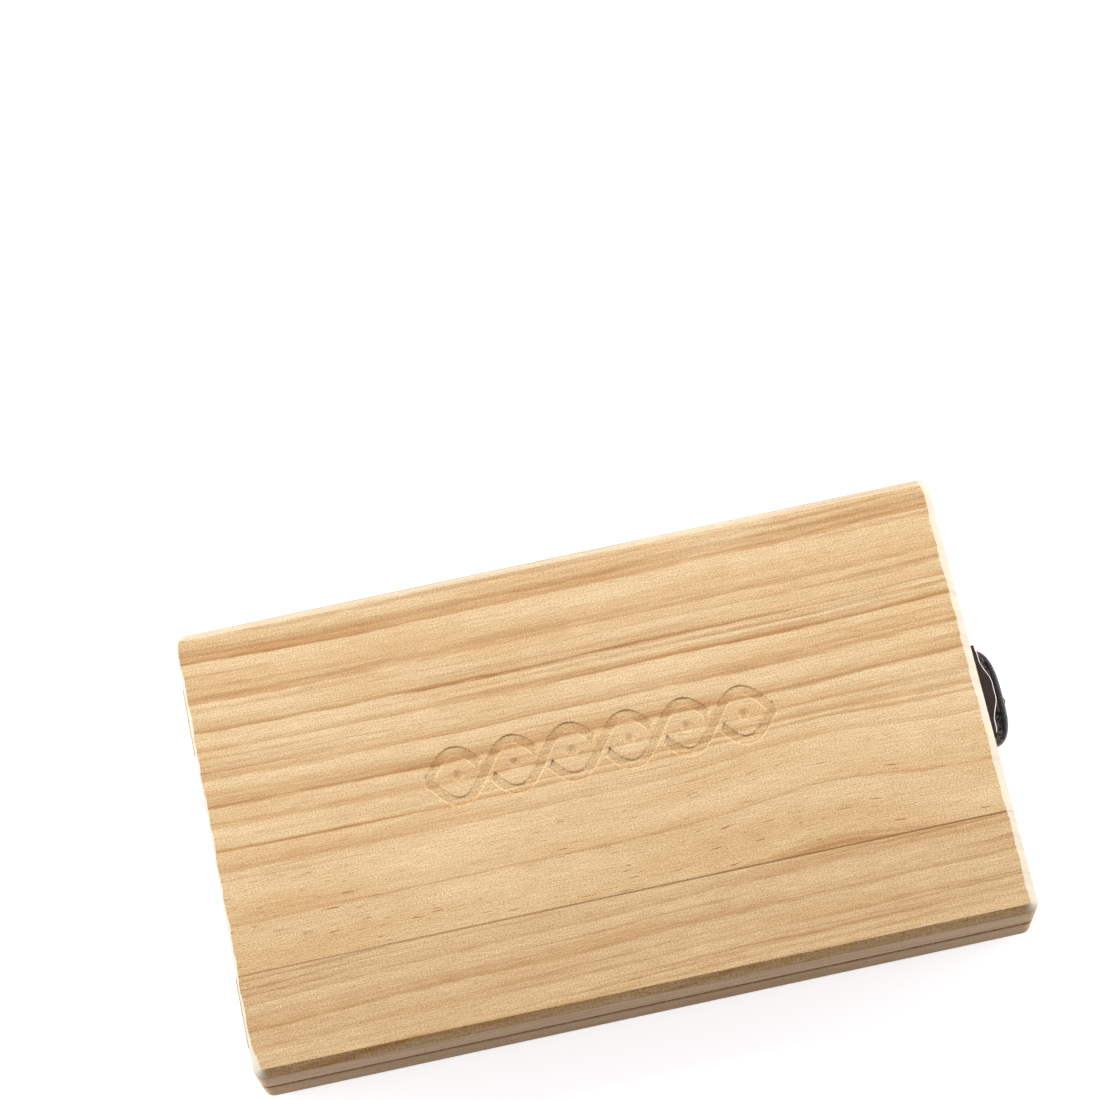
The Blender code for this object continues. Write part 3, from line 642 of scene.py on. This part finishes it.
def bevel_profile(outer_depth):
    """(inset, depth, sway) from the play face round its soft edge, down the wall and over the bevel.

    The bevel is a quadratic curve, almost straight at the arris.
    """
    points = [(CORNER_RADIUS, 0.0, 0.0)] + soft_edge(PLAY_EDGE_RADIUS, 6)
    for t in np.linspace(0.0, 1.0, 9):
        inset = 2 * t * (1 - t) * BEVEL_FOOT_INSET + t ** 2 * BEVEL_RUN
        drop = (1 - t) ** 2 * BEVEL_DROP + 2 * t * (1 - t) * BEVEL_FOOT_DROP
        points.append((inset, outer_depth - drop, t))
    points.append((CORNER_RADIUS, outer_depth, 0.0))
    return points


def bowl_profile(radius, depth):
    """(radius, depth) of a hollow from its middle: part of a sphere, then a lip as a quadratic curve.

    The sphere's radius is (radius squared + depth squared) / (2 depth).
    """
    sphere = (radius ** 2 + depth ** 2) / (2 * depth)
    slope = math.asin(radius / sphere)
    lip_end = (radius - PIT_LIP * math.cos(slope), PIT_LIP * math.sin(slope))
    rings = lip_end[0] * np.sin(np.linspace(0.0, math.pi / 2, 15))
    points = [(ring, depth - sphere + math.sqrt(sphere ** 2 - ring ** 2)) for ring in rings]
    for t in np.linspace(0.0, 1.0, 7)[1:]:
        ring = (1 - t) ** 2 * lip_end[0] + 2 * t * (1 - t) * radius + t ** 2 * (radius + PIT_LIP)
        points.append((ring, (1 - t) ** 2 * lip_end[1]))
    return points


def carving(x, y):
    """Depth of the carved band: two sine strands that pass over and under, with a dimple in each eye.

    A strand's distance is its height difference over the root of 1 + slope squared.
    """
    along = (x - CARVING_X) / EYE_LENGTH + CARVING_EYES / 2
    inside = np.clip(along, 0.0, CARVING_EYES)
    beyond = (along - inside) * EYE_LENGTH
    rise = STRAND_SWING * np.sin(math.pi * inside)
    slope = STRAND_SWING * math.pi / EYE_LENGTH * np.cos(math.pi * inside)
    steep = np.sqrt(1 + slope ** 2)
    near = [np.hypot((y - CARVING_Y - sign * rise) / steep, beyond) for sign in (1, -1)]
    over = np.where(np.round(inside) % 2 == 0, near[0], near[1])
    under = np.where(np.round(inside) % 2 == 0, near[1], near[0])
    half = GROOVE_WIDTH / 2
    top = smooth(half - over, 0.0, GROOVE_WALL)
    inner = (np.round(inside) > 0) & (np.round(inside) < CARVING_EYES)
    clear = np.where(inner, smooth(over - half - STRAND_LAND, 0.0, GROOVE_WALL), 1.0)
    low = smooth(half - under, 0.0, GROOVE_WALL) * clear
    middle = (np.floor(np.clip(along, 0.0, CARVING_EYES - 0.01)) + 0.5 - CARVING_EYES / 2) * EYE_LENGTH
    out = np.hypot(x - CARVING_X - middle, y - CARVING_Y) / DIMPLE_RADIUS
    dimple = DIMPLE_DEPTH * np.clip(1 - out ** 2, 0.0, 1.0)
    return np.maximum(GROOVE_DEPTH * np.maximum(top, low), dimple)


def outer_face(us, vs, depth, place, carved):
    """The outer face as a grid, with a finer grid let into it under the carved band.

    The fine grid's edge points are drawn to the nearest coarse lines, where they join.
    """
    if not carved:
        return [grid(us, vs, depth, place)]
    half_u = (CARVING_EYES * EYE_LENGTH + GROOVE_WIDTH) / 2 + GRID_STEP
    half_v = STRAND_SWING + GROOVE_WIDTH / 2 + GRID_STEP
    left = np.searchsorted(us, CARVING_X - half_u) - 1
    right = np.searchsorted(us, CARVING_X + half_u)
    low = np.searchsorted(vs, CARVING_Y - half_v) - 1
    high = np.searchsorted(vs, CARVING_Y + half_v)
    u_lines = us[left:right + 1]
    v_lines = vs[low:high + 1]
    around = ((us[:left + 1], vs), (us[right:], vs), (u_lines, vs[:low + 1]), (u_lines, vs[high:]))
    patches = [grid(*lines, depth, place) for lines in around]
    fine_u = np.linspace(us[left], us[right], int((us[right] - us[left]) / CARVING_STEP) + 1)
    fine_v = np.linspace(vs[low], vs[high], int((vs[high] - vs[low]) / CARVING_STEP) + 1)
    u, v = np.meshgrid(fine_u, fine_v)
    drawn_u = u_lines[np.abs(fine_u[:, None] - u_lines).argmin(1)]
    drawn_v = v_lines[np.abs(fine_v[:, None] - v_lines).argmin(1)]
    u[0] = u[-1] = drawn_u
    v[:, 0] = v[:, -1] = drawn_v
    patches.append(place(u, v, depth - carving(u, v)))
    return patches


def make_board(name, side, body, finish, carved):
    """One wooden half, bevelled outside, with six pits, a store and two mortises in its play face.

    The path round it starts at the front, so the hinge end, which the mortises cut, is its last side.
    """
    place = half_height(side)
    outer_depth = upper_high.z - upper_low.z
    leaf_low, leaf_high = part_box("back_hinge_upper_leaf")
    mortise_low = leaf_low.y - MORTISE_GAP
    mortise_high = leaf_high.y + MORTISE_GAP
    mortise_x = leaf_high.x + MORTISE_GAP
    mortise_floor = leaf_high.z - upper_low.z + MORTISE_GAP / 2
    base_x = end_x - CORNER_RADIUS
    base_y = side_y - CORNER_RADIUS
    pit_edge = FIRST_PIT_X - PIT_RADIUS - PIT_LIP - MORTISE_GAP
    walls = [FIRST_PIT_X + (k + 0.5) * PIT_PITCH for k in range(2)]
    store_wall = (FIRST_PIT_X + 2 * PIT_PITCH + PIT_RADIUS + STORE_X - STORE_RADIUS) / 2

    parts_x = stretches([-base_x, mortise_x, pit_edge, *walls, store_wall, base_x], GRID_STEP)
    stops_y = [-base_y, -mortise_high, -mortise_low, 0.0, mortise_low, mortise_high, base_y]
    parts_y = stretches(stops_y, GRID_STEP)
    us = np.concatenate(parts_x)
    vs = np.concatenate(parts_y)
    in_mortise = np.concatenate([np.full(len(p), k in (1, 4)) for k, p in enumerate(parts_y)])
    path = rectangle_path(us, vs, fan=CORNER_FAN)
    floor = np.zeros(len(path[0]))
    first_of_end = 2 * len(us) + len(vs) + 3 * CORNER_FAN
    floor[first_of_end:first_of_end + len(vs)] = np.where(in_mortise[::-1], mortise_floor, 0.0)
    patches = [loft(path, CORNER_RADIUS, bevel_profile(outer_depth), place, floor)]

    strip_u = np.concatenate(parts_x[:2])
    sunk = np.outer(in_mortise, np.arange(len(strip_u)) < len(parts_x[0]))
    u, v = np.meshgrid(strip_u, vs)
    patches.append(place(u, v, np.where(sunk, mortise_floor, 0.0)))
    pit = bowl_profile(PIT_RADIUS, PIT_DEPTH)
    for column in range(3):
        for row, rows in ((-1, parts_y[:3]), (1, parts_y[3:])):
            hollow = (FIRST_PIT_X + column * PIT_PITCH, row * PIT_ROW_Y, 0.0)
            patches.append(cell(parts_x[2 + column], np.concatenate(rows), hollow, pit, place))
    store = (STORE_X, 0.0, STORE_REACH)
    patches.append(cell(parts_x[5], vs, store, bowl_profile(STORE_RADIUS, PIT_DEPTH), place))
    patches += outer_face(us, vs, outer_depth, place, carved)
    make_piece(name, patches, finish, body, sharp=20.0)


def wall(u, v, depths, place):
    """A strip along a row of points, from one depth to another."""
    depth = np.array(depths)[:, None]
    return place(u + 0 * depth, v + 0 * depth, depth + 0 * u)


def rolled(skins, stem_end, ys, place, stem_closed):
    """A knuckle rolled from sheet: both skins follow the stem, then circles about the pin.

    The place takes (way along the stem, way across it, y), measured from the pin's axis.
    """
    rows = []
    for skin, radius in zip(skins, (BORE_RADIUS, KNUCKLE_RADIUS)):
        turn = np.linspace(math.asin(min(skin / radius, 1.0)), ROLL_END, 32)
        along = np.concatenate([[stem_end], radius * np.cos(turn)])
        rows.append(np.stack([along, np.concatenate([[skin], radius * np.sin(turn)])]))
    inner, outer = rows
    rim = np.concatenate([outer, inner[:, ::-1]], 1)
    if stem_closed:
        rim = np.concatenate([rim, rim[:, :1]], 1)
    y = np.array(ys)[:, None]
    patches = [place(rim[0] + 0 * y, rim[1] + 0 * y, y + 0 * rim[0])]
    for end in (ys[0], ys[-1]):
        sheet = np.stack([outer, inner])
        patches.append(place(sheet[:, 0], sheet[:, 1], np.full(sheet[:, 0].shape, end)))
    return patches


def make_leaf(name, side, body, finish):
    """A hinge leaf: a plate with two countersunk holes, and its knuckles rolled about the pin.

    The upper leaf (side 1) holds the middle knuckle, and the lower one (side -1) those at both ends.
    """
    low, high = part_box(name)
    middle = (low.y + high.y) / 2
    inner = MIDDLE_KNUCKLE_LENGTH / 2 + (KNUCKLE_GAP if side < 0 else 0.0)
    place = half_height(side)
    stops = [low.y, middle - inner, middle, middle + inner, high.y]
    knuckles = [side < 0, side > 0, side > 0, side < 0]
    axis_x = low.x + KNUCKLE_RADIUS
    skins = (PARTING_GAP / 2, PARTING_GAP / 2 + LEAF_THICKNESS)
    us = stretches([axis_x + KNUCKLE_RADIUS + KNUCKLE_GAP, high.x], LEAF_STEPS[0])[0]
    parts = stretches(stops, LEAF_STEPS[1])
    sink = (
        (SHANK_HOLE_RADIUS, LEAF_THICKNESS),
        (SHANK_HOLE_RADIUS, LEAF_THICKNESS * 0.8),
        (SINK_RADIUS, SINK_LIP),
        (SINK_RADIUS + SINK_LIP, 0.0),
    )
    patches = []
    for number, way in enumerate((-1, 1)):
        vs = np.concatenate(parts[2 * number:2 * number + 2])
        hole = (-end_x + LEAF_SCREW_INSET, middle + way * LEAF_SCREW_SPACING / 2, 0.0)
        patches.append(cell(us, vs, hole, sink, place))
        patches.append(cell(us, vs, hole, sink[:1], place))
    depths = (0.0, LEAF_THICKNESS)
    every = np.concatenate(parts)
    patches.append(wall(us, np.full_like(us, low.y), depths, place))
    patches.append(wall(us, np.full_like(us, high.y), depths, place))
    patches.append(wall(np.full_like(every, us[-1]), every, depths, place))

    def about_pin(along, across, y):
        return place(axis_x + along, y, across - PARTING_GAP / 2)

    spans = [np.concatenate(parts[1:3])] if side > 0 else [parts[0], parts[3]]
    for span in spans:
        patches += rolled(skins, us[0] - axis_x, span, about_pin, False)
    for part, knuckle in zip(parts, knuckles):
        if not knuckle:
            patches.append(wall(np.full_like(part, us[0]), part, depths, place))
    soften(make_piece(name, patches, finish, body), LEAF_SOFTNESS)


def upright(x, y, z, way, turn=0.0):
    """A place for turned forms whose depth runs from this point along the way: -X, -Z or +Z."""
    def place(u, v, depth):
        across = u * math.cos(turn) - v * math.sin(turn)
        up = u * math.sin(turn) + v * math.cos(turn)
        if way == "-X":
            return np.stack([x - depth, y + across, z + up], -1)
        return np.stack([x + across, y + up, z + (depth if way == "+Z" else -depth)], -1)
    return place


def make_screw(name, place, crown, profile, body, finish):
    """A screw: a head with a cross recess, domed by the crown, over a turned shank.

    The crown falls with the square of the radius, and the recess is a cross of steep walls.
    """
    arm_half = RECESS_HALF + RECESS_WALL
    arm_end = RECESS_REACH + RECESS_WALL
    half = [RECESS_HALF, arm_half, RECESS_REACH, arm_end, HEAD_RADIUS * HEAD_SQUARE_SHARE]
    lines = np.array([-h for h in reversed(half)] + [0.0] + half)

    def top(u, v):
        arm = np.minimum(np.maximum(np.abs(u), np.abs(v)), arm_end)
        thick = np.minimum(np.abs(u), np.abs(v))
        cut = smooth(arm_end - arm, 0.0, RECESS_WALL) * smooth(arm_half - thick, 0.0, RECESS_WALL)
        return cut * RECESS_DEPTH - crown * (1 - (u ** 2 + v ** 2) / HEAD_RADIUS ** 2)

    edge = rectangle_path(lines, lines)[0]
    radial = edge / np.linalg.norm(edge, axis=1)[:, None]
    rings = [edge]
    depths = [top(edge[:, 0], edge[:, 1])]
    for radius, depth in profile:
        rings.append(radial * radius)
        depths.append(np.full(len(edge), depth))
    rings = np.array(rings)
    patches = [grid(lines, lines, top, place), place(rings[..., 0], rings[..., 1], np.array(depths))]
    wear = [0.5, np.array([0.4, 1.0] + [0.3] * (len(profile) - 1))[:, None]]
    make_piece(name, patches, finish, body, worn=wear)


def shank(start, length):
    """(radius, depth) of a screw's shank and point, closed at the tip."""
    return [
        (SHANK_RADIUS, start),
        (SHANK_RADIUS, length - POINT_LENGTH),
        (POINT_RADIUS, length),
        (0.0, length),
    ]


def make_pin(name, body, finish):
    """A round pin along Y with chamfered ends."""
    low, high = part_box(name)
    radius = (high.z - low.z) / 2
    centre = (low + high) / 2
    profile = ((0.0, low.y), (radius - PIN_CHAMFER, low.y), (radius, low.y + PIN_CHAMFER),
               (radius, high.y - PIN_CHAMFER), (radius - PIN_CHAMFER, high.y), (0.0, high.y))
    turn = np.linspace(0.0, 2 * math.pi, 33)
    radii = np.array([p[0] for p in profile])[:, None]
    places = np.array([p[1] for p in profile])[:, None]
    x = centre.x + radii * np.cos(turn)
    z = centre.z + radii * np.sin(turn)
    make_piece(name, [np.stack([x, places + 0 * turn, z], -1)], finish, body)


def end_plate(name, corner):
    """A flat plate on the latch end with round corners and soft front edges, as grids of points."""
    low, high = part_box(name)
    back = end_x + FLAP_RIM_GAP

    def place(u, v, depth):
        return np.stack([back + PLATE_THICKNESS - depth, u, v], -1)

    us = stretches([low.y + corner, high.y - corner], PLATE_STEP)[0]
    vs = stretches([low.z + corner, high.z - corner], PLATE_STEP)[0]
    edge = soft_edge(PLATE_SOFTNESS, 4)
    profile = [(corner, 0.0, 0.0), *edge, (0.0, PLATE_THICKNESS, 0.0), (corner, PLATE_THICKNESS, 0.0)]
    path = rectangle_path(us, vs, fan=CORNER_FAN)
    patches = [grid(us, vs, 0.0, place), grid(us, vs, PLATE_THICKNESS, place)]
    patches.append(loft(path, corner, profile, place))
    wear = [0.0, 0.0, np.array([0.0] + [0.3] * len(edge) + [0.0, 0.0])[:, None]]
    return patches, wear


def make_latch_plate(name, body, finish):
    """The upper plate of the hasp: its brow, drawn out in a soft wave, and its two rolled knuckles."""
    patches, wear = end_plate(name, LATCH_CORNER)
    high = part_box(name)[1]
    back = end_x + FLAP_RIM_GAP
    root = back + PLATE_THICKNESS / 2
    top = high.z - BROW_DROP
    half = high.y - LATCH_CORNER
    y = half * np.sin(np.linspace(-math.pi / 2, math.pi / 2, 81))[:, None]
    wave = 1 - smooth(np.abs(y), BROW_FLAT_HALF, BROW_FOOT_HALF)
    round_end = np.sqrt(np.clip(1 - (np.abs(y) / half) ** BROW_END_POWER, 0.0, 1.0))
    reach = (BROW_END_REACH + wave * (BROW_MIDDLE_REACH - BROW_END_REACH)) * round_end
    tip = np.maximum(back + reach, root)
    radius = PLATE_THICKNESS / 2
    turn = np.linspace(math.pi / 2, -math.pi / 2, 9)
    nose = np.maximum(tip - radius + radius * np.cos(turn), root)
    x = np.concatenate([root + 0 * y, nose, root + 0 * y, root + 0 * y], 1)
    level = np.concatenate([[radius], radius * np.sin(turn), [-radius], [radius]])
    brow = np.stack([x, y + 0 * x, top - radius + level * round_end], -1)
    patches.append(brow)
    # A painted highlight along the brow's nose, strongest where the nose faces out and up.
    brow_highlight = np.clip(np.cos(turn - BROW_HIGHLIGHT_TILT), 0.0, 1.0) ** 2 * BROW_HIGHLIGHT
    wear.append(np.concatenate([[0.0], brow_highlight, [0.0, 0.0]])[None, :])
    pin_low, pin_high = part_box("hasp_pin")
    pin = (pin_low + pin_high) / 2
    inner = FLAP_KNUCKLE_LENGTH / 2 + KNUCKLE_GAP

    def about_pin(along, across, y):
        return np.stack([pin.x - along, y, pin.z + across], -1)

    for way in (-1, 1):
        ys = sorted((way * inner, way * (inner + PLATE_KNUCKLE_LENGTH)))
        knuckle = rolled((BORE_RADIUS, KNUCKLE_RADIUS), pin.x - root, ys, about_pin, True)
        patches += knuckle
        wear += [0.3] * len(knuckle)
    make_piece(name, patches, finish, body, worn=wear)


def superellipse(y, z):
    """A point's radius in the flap's outline: the sum of both places to a power, and its root."""
    total = np.abs(y) ** FLAP_OUTLINE_POWER + np.abs(z) ** FLAP_OUTLINE_POWER
    return total ** (1 / FLAP_OUTLINE_POWER)


def make_flap(name, body, finish):
    """The domed flap: a thin shell with a rolled rim, a slot for the staple, and a knuckle above.

    Its outline is a superellipse narrowed towards the bottom. A point's share is its superellipse
    radius, and the dome stands out by its rise times the root of 1 - share cubed.
    """
    low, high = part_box(name)
    staple_low, staple_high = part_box("catch_staple")
    rim_x = end_x + FLAP_RIM_GAP + PLATE_THICKNESS + KNUCKLE_GAP
    pin_low, pin_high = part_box("hasp_pin")
    pin = (pin_low + pin_high) / 2
    flap_top = high.z - KNUCKLE_RADIUS - FLAP_TOP_DROP
    centre = (low.z + flap_top) / 2
    half_height_z = (flap_top - low.z) / 2
    half_width = FLAP_WIDTH / 2
    crown = high.x - rim_x

    def outline(inset, turn):
        y, z = np.cos(turn), np.sin(turn)
        size = superellipse(y, z)
        up = z / size
        across = y / size * (1 - FLAP_TAPER * (1 - up) / 2)
        return (half_width - inset) * across, centre + (half_height_z - inset) * up

    def lift(y, z, inset, rise):
        up = np.clip((z - centre) / (half_height_z - inset), -1.0, 1.0)
        across = y / (half_width - inset) / (1 - FLAP_TAPER * (1 - up) / 2)
        share = np.clip(superellipse(across, up), 0.0, 1.0)
        return rim_x + rise * np.sqrt(1 - share ** FLAP_DOME_POWER)

    slot_low = staple_low.z - SLOT_BOTTOM_GAP
    slot_high = staple_high.z + SLOT_TOP_GAP
    frame_half = SLOT_HALF + SLOT_FRAME_WIDTH
    stops_z = [slot_low - SLOT_FRAME_WIDTH, slot_low, slot_high, slot_high + SLOT_FRAME_WIDTH]
    ys = stretches([-frame_half, -SLOT_HALF, SLOT_HALF, frame_half], SLOT_STEP)
    zs = stretches(stops_z, SLOT_STEP)
    edge = rectangle_path(np.concatenate(ys), np.concatenate(zs))[0]
    turn = np.arctan2(edge[:, 1] - (slot_low + slot_high) / 2, edge[:, 0])
    shares = np.sin(np.linspace(0.0, math.pi / 2, 22))
    patches, wear, edges = [], [], []
    for inset, rise in ((0.0, crown), (PLATE_THICKNESS, crown - PLATE_THICKNESS)):
        for k, part_z in enumerate(zs):
            for j, part_y in enumerate(ys):
                if (j, k) != (1, 1):
                    y, z = np.meshgrid(part_y, part_z)
                    patches.append(np.stack([lift(y, z, inset, rise), y, z], -1))
                    wear.append(0.0)
        rim_y, rim_z = outline(inset, turn)
        y = edge[:, 0] * (1 - shares[:, None]) + rim_y * shares[:, None]
        z = edge[:, 1] * (1 - shares[:, None]) + rim_z * shares[:, None]
        x = lift(y, z, inset, rise)
        x[-1] = rim_x
        patches.append(np.stack([x, y, z], -1))
        wear.append(np.clip(shares[:, None] * 6 - 5.4, 0.0, 0.6))
        edges.append(patches[-1][-1])
        slot_path = rectangle_path(ys[1], zs[1])[0]
        edges.append(np.stack([lift(slot_path[:, 0], slot_path[:, 1], inset, rise), *slot_path.T], -1))
    patches += [np.stack([edges[0], edges[2]]), np.stack([edges[1], edges[3]])]
    wear += [0.8, 0.6]

    def about_pin(along, across, y):
        return np.stack([pin.x + across, y, pin.z - along], -1)

    half = FLAP_KNUCKLE_LENGTH / 2
    stem_end = pin.z - flap_top + FLAP_STEM_OVERLAP
    knuckle = rolled(FLAP_STEM, stem_end, (-half, half), about_pin, True)
    wear += [0.35] * len(knuckle)
    flap = make_piece(name, patches + knuckle, finish, body, worn=wear)
    soften(flap, FLAP_SOFTNESS)


def make_staple(name, body, finish):
    """The wire staple: two straight legs joined by a half circle, swept round."""
    low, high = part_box(name)
    radius = (high.z - low.z) / 2
    half = high.y - radius
    level = (high.z + low.z) / 2
    turn = np.linspace(-math.pi / 2, math.pi / 2, 25)
    bend_x = high.x - radius - half
    x = np.concatenate([[low.x], bend_x + half * np.cos(turn), [low.x]])
    y = np.concatenate([[-half], half * np.sin(turn), [half]])
    heading = np.concatenate([[turn[0]], turn, [turn[-1]]])
    ring = np.linspace(0.0, 2 * math.pi, 19)
    out = radius * np.cos(ring)
    heading = heading[:, None]
    points = np.stack([x[:, None] + out * np.cos(heading), y[:, None] + out * np.sin(heading),
                       level + radius * np.sin(ring) + 0 * heading], -1)
    make_piece(name, [capped(points)], finish, body, worn=[0.25])


def make_metal_parts():
    """Both hinges on the short end, and the hasp on the other."""
    for hinge in ("front", "back"):
        make_pin(f"{hinge}_hinge_pin", "lower_half", brass)
        for half, side in (("lower", -1), ("upper", 1)):
            body = f"{half}_half"
            make_leaf(f"{hinge}_hinge_{half}_leaf", side, body, brass)
            for number in (1, 2):
                name = f"{hinge}_hinge_{half}_screw_{number}"
                low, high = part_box(name)
                x, y = (low.x + high.x) / 2, (low.y + high.y) / 2
                level = low.z if side > 0 else high.z
                way = "+Z" if side > 0 else "-Z"
                place = upright(x, y, level, way, turn=y * SCREW_TURN_PER_METRE + side)
                sunk = [(HEAD_RADIUS, 0.0)] + shank(LEAF_THICKNESS, high.z - low.z)
                make_screw(name, place, 0.0, sunk, body, brass)
    for plate, body in (("latch_plate", "upper_half"), ("catch_plate", "lower_half")):
        for number in (1, 2):
            name = f"{plate}_screw_{number}"
            low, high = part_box(name)
            y, z = (low.y + high.y) / 2, (low.z + high.z) / 2
            place = upright(high.x - HEAD_RISE, y, z, "-X", turn=y * SCREW_TURN_PER_METRE)
            seat = [(HEAD_RADIUS, 0.0), (HEAD_RADIUS, HEAD_SEAT)]
            raised = seat + shank(HEAD_SEAT, high.x - low.x - HEAD_RISE)
            make_screw(name, place, HEAD_RISE, raised, body, bronze)
    make_latch_plate("latch_plate", "upper_half", bronze)
    make_pin("hasp_pin", "upper_half", bronze)
    make_flap("hasp_flap", "flap", black)
    patches, wear = end_plate("catch_plate", CATCH_CORNER)
    make_piece("catch_plate", patches, bronze, "lower_half", worn=wear)
    make_staple("catch_staple", "lower_half", black)


WHITE = (1.0, 1.0, 1.0, 1.0)
SEEN_RAYS = ("Is Camera Ray", "Is Glossy Ray", "Is Transmission Ray")
FLOOR_COLOUR = (0.71, 0.69, 0.77, 1.0)
FLOOR_GLOW = 0.78
FLOOR_REACH = 3.0
FLOOR_DROP = 0.05 * MM

# Radii about the board's middle, in mm, between which the floor turns plain white
SHADOW_RADIUS = 200.0
WHITE_RADIUS = 420.0


def make_floor():
    """A pale floor that keeps the shadow near the board, and turns plain white away from it.

    To the camera and to shiny surfaces it glows a little, so that it shows white where it is lit.
    """
    mesh = bpy.data.meshes.new("floor")
    signs = ((-1, -1), (1, -1), (1, 1), (-1, 1))
    corners = [(FLOOR_REACH * x, FLOOR_REACH * y, -FLOOR_DROP) for x, y in signs]
    mesh.from_pydata(corners, [], [(0, 1, 2, 3)])
    finish = Finish("pale_floor", Roughness=0.9, Base_Color=FLOOR_COLOUR)
    light = finish.node("LightPath")
    seen = 0.0
    for ray in SEEN_RAYS:
        seen = finish.math("MAXIMUM", Signal(finish, light.outputs[ray]), seen)
    glow = finish.node("Emission", None, {"Color": WHITE, "Strength": seen * FLOOR_GLOW})
    lit = finish.node("AddShader", None, {0: finish.shader.outputs[0], 1: glow.outputs[0]})
    plain = finish.node("Emission", None, {"Color": WHITE, "Strength": 1.0})
    x, y = finish.place()[:2]
    away = finish.rise(finish.math("SQRT", x ** 2.0 + y ** 2.0), SHADOW_RADIUS, WHITE_RADIUS) * seen
    both = finish.node("MixShader", None, {0: away, 1: lit.outputs[0], 2: plain.outputs[0]})
    finish.tree.links.new(both.outputs[0], finish.tree.nodes["Material Output"].inputs["Surface"])
    mesh.materials.append(finish.material)
    floor = add_object("floor", mesh)


def make_world(level):
    """White for the camera and for shiny surfaces, and this level of plain light for all else."""
    world = bpy.data.worlds.new("studio")
    bpy.context.scene.world = world
    world.use_nodes = True
    tree = world.node_tree
    light = tree.nodes.new("ShaderNodeLightPath")
    seen = light.outputs[SEEN_RAYS[0]]
    for ray in SEEN_RAYS[1:]:
        either = tree.nodes.new("ShaderNodeMath")
        either.operation = "MAXIMUM"
        tree.links.new(seen, either.inputs[0])
        tree.links.new(light.outputs[ray], either.inputs[1])
        seen = either.outputs[0]
    strength = tree.nodes.new("ShaderNodeMapRange")
    strength.inputs["To Min"].default_value = level
    tree.links.new(seen, strength.inputs["Value"])
    background = tree.nodes["Background"]
    background.inputs["Color"].default_value = WHITE
    tree.links.new(strength.outputs[0], background.inputs["Strength"])


def make_softbox(name, location, size, level, mirrored=True):
    """A rectangular lamp aimed at the board, whose light alone would bring this share of full level.

    One that isn't mirrored leaves no glare on a face seen from low down.
    """
    lamp = bpy.data.lights.new(name, "AREA")
    lamp.shape = "RECTANGLE"
    lamp.size, lamp.size_y = size
    way = Vector(location)
    lamp.energy = level * math.pi ** 2 * way.length ** 3 / way.z
    softbox = add_object(name, lamp)
    softbox.location = way
    softbox.rotation_euler = way.to_track_quat("Z", "Y").to_euler()
    softbox.visible_glossy = mirrored


def make_camera():
    """The photograph's camera: its turn, tilt and roll about a point of the floor behind the board."""
    camera = bpy.data.cameras.new("camera")
    focal_length_in_images = 3.185
    camera.sensor_width = 36.0
    camera.lens = focal_length_in_images * camera.sensor_width
    turn = math.radians(-5.248)
    tilt = math.radians(19.363)
    roll = math.radians(-7.061)
    distance = 1.0302
    aim = Vector((1.0 * MM, 76.6 * MM, 0.0))
    rotation = Matrix.Rotation(turn, 4, "Z") @ Matrix.Rotation(tilt, 4, "X")
    rotation = rotation @ Matrix.Rotation(roll, 4, "Z")
    holder = add_object("camera", camera)
    holder.matrix_world = Matrix.Translation(aim) @ rotation @ Matrix.Translation((0.0, 0.0, distance))
    bpy.context.scene.camera = holder


# The last number is how far, in mm, the painted shadow at the parting line reaches along each half's wall.
upper_pine = pine("upper_pine", top_z=28.0, pith=(120.0, -40.0), joint_y=-36.0, shift=61.0,
                  seed=0.0, seam_shadow_reach=1.0)
lower_pine = pine("lower_pine", top_z=14.0, pith=(140.0, 90.0), joint_y=30.0, shift=40.0,
                  seed=5.0, seam_shadow_reach=2.2)
# The bronze's near-white bright colour shows as the painted highlight on the brow, and on worn edges.
bronze = aged_metal("antique_bronze", colour(47, 35, 33), colour(252, 238, 232),
                    roughness=0.5, metallic=0.7, patch=3.0)
black = aged_metal("black_bronze", colour(14, 12, 12), colour(110, 98, 94),
                   roughness=0.16, metallic=0.0, patch=2.0, hammered=4.5, specular=0.08)
brass = aged_metal("hinge_brass", colour(204, 168, 100), colour(236, 208, 140),
                   roughness=0.48, metallic=0.85, patch=7.0)

make_board("upper_board", 1, "upper_half", upper_pine, True)
make_board("lower_board", -1, "lower_half", lower_pine, False)
make_metal_parts()

make_floor()
make_world(0.12)
make_softbox("back_softbox", (0.0, 0.8, 0.95), (0.9, 0.5), 0.545)
make_softbox("left_softbox", (-0.85, 0.11, 0.2), (0.5, 0.25), 0.165, mirrored=False)
make_softbox("right_softbox", (0.85, 0.11, 0.2), (0.5, 0.25), 0.175, mirrored=False)
make_camera()
bpy.context.scene.view_settings.view_transform = "Standard"
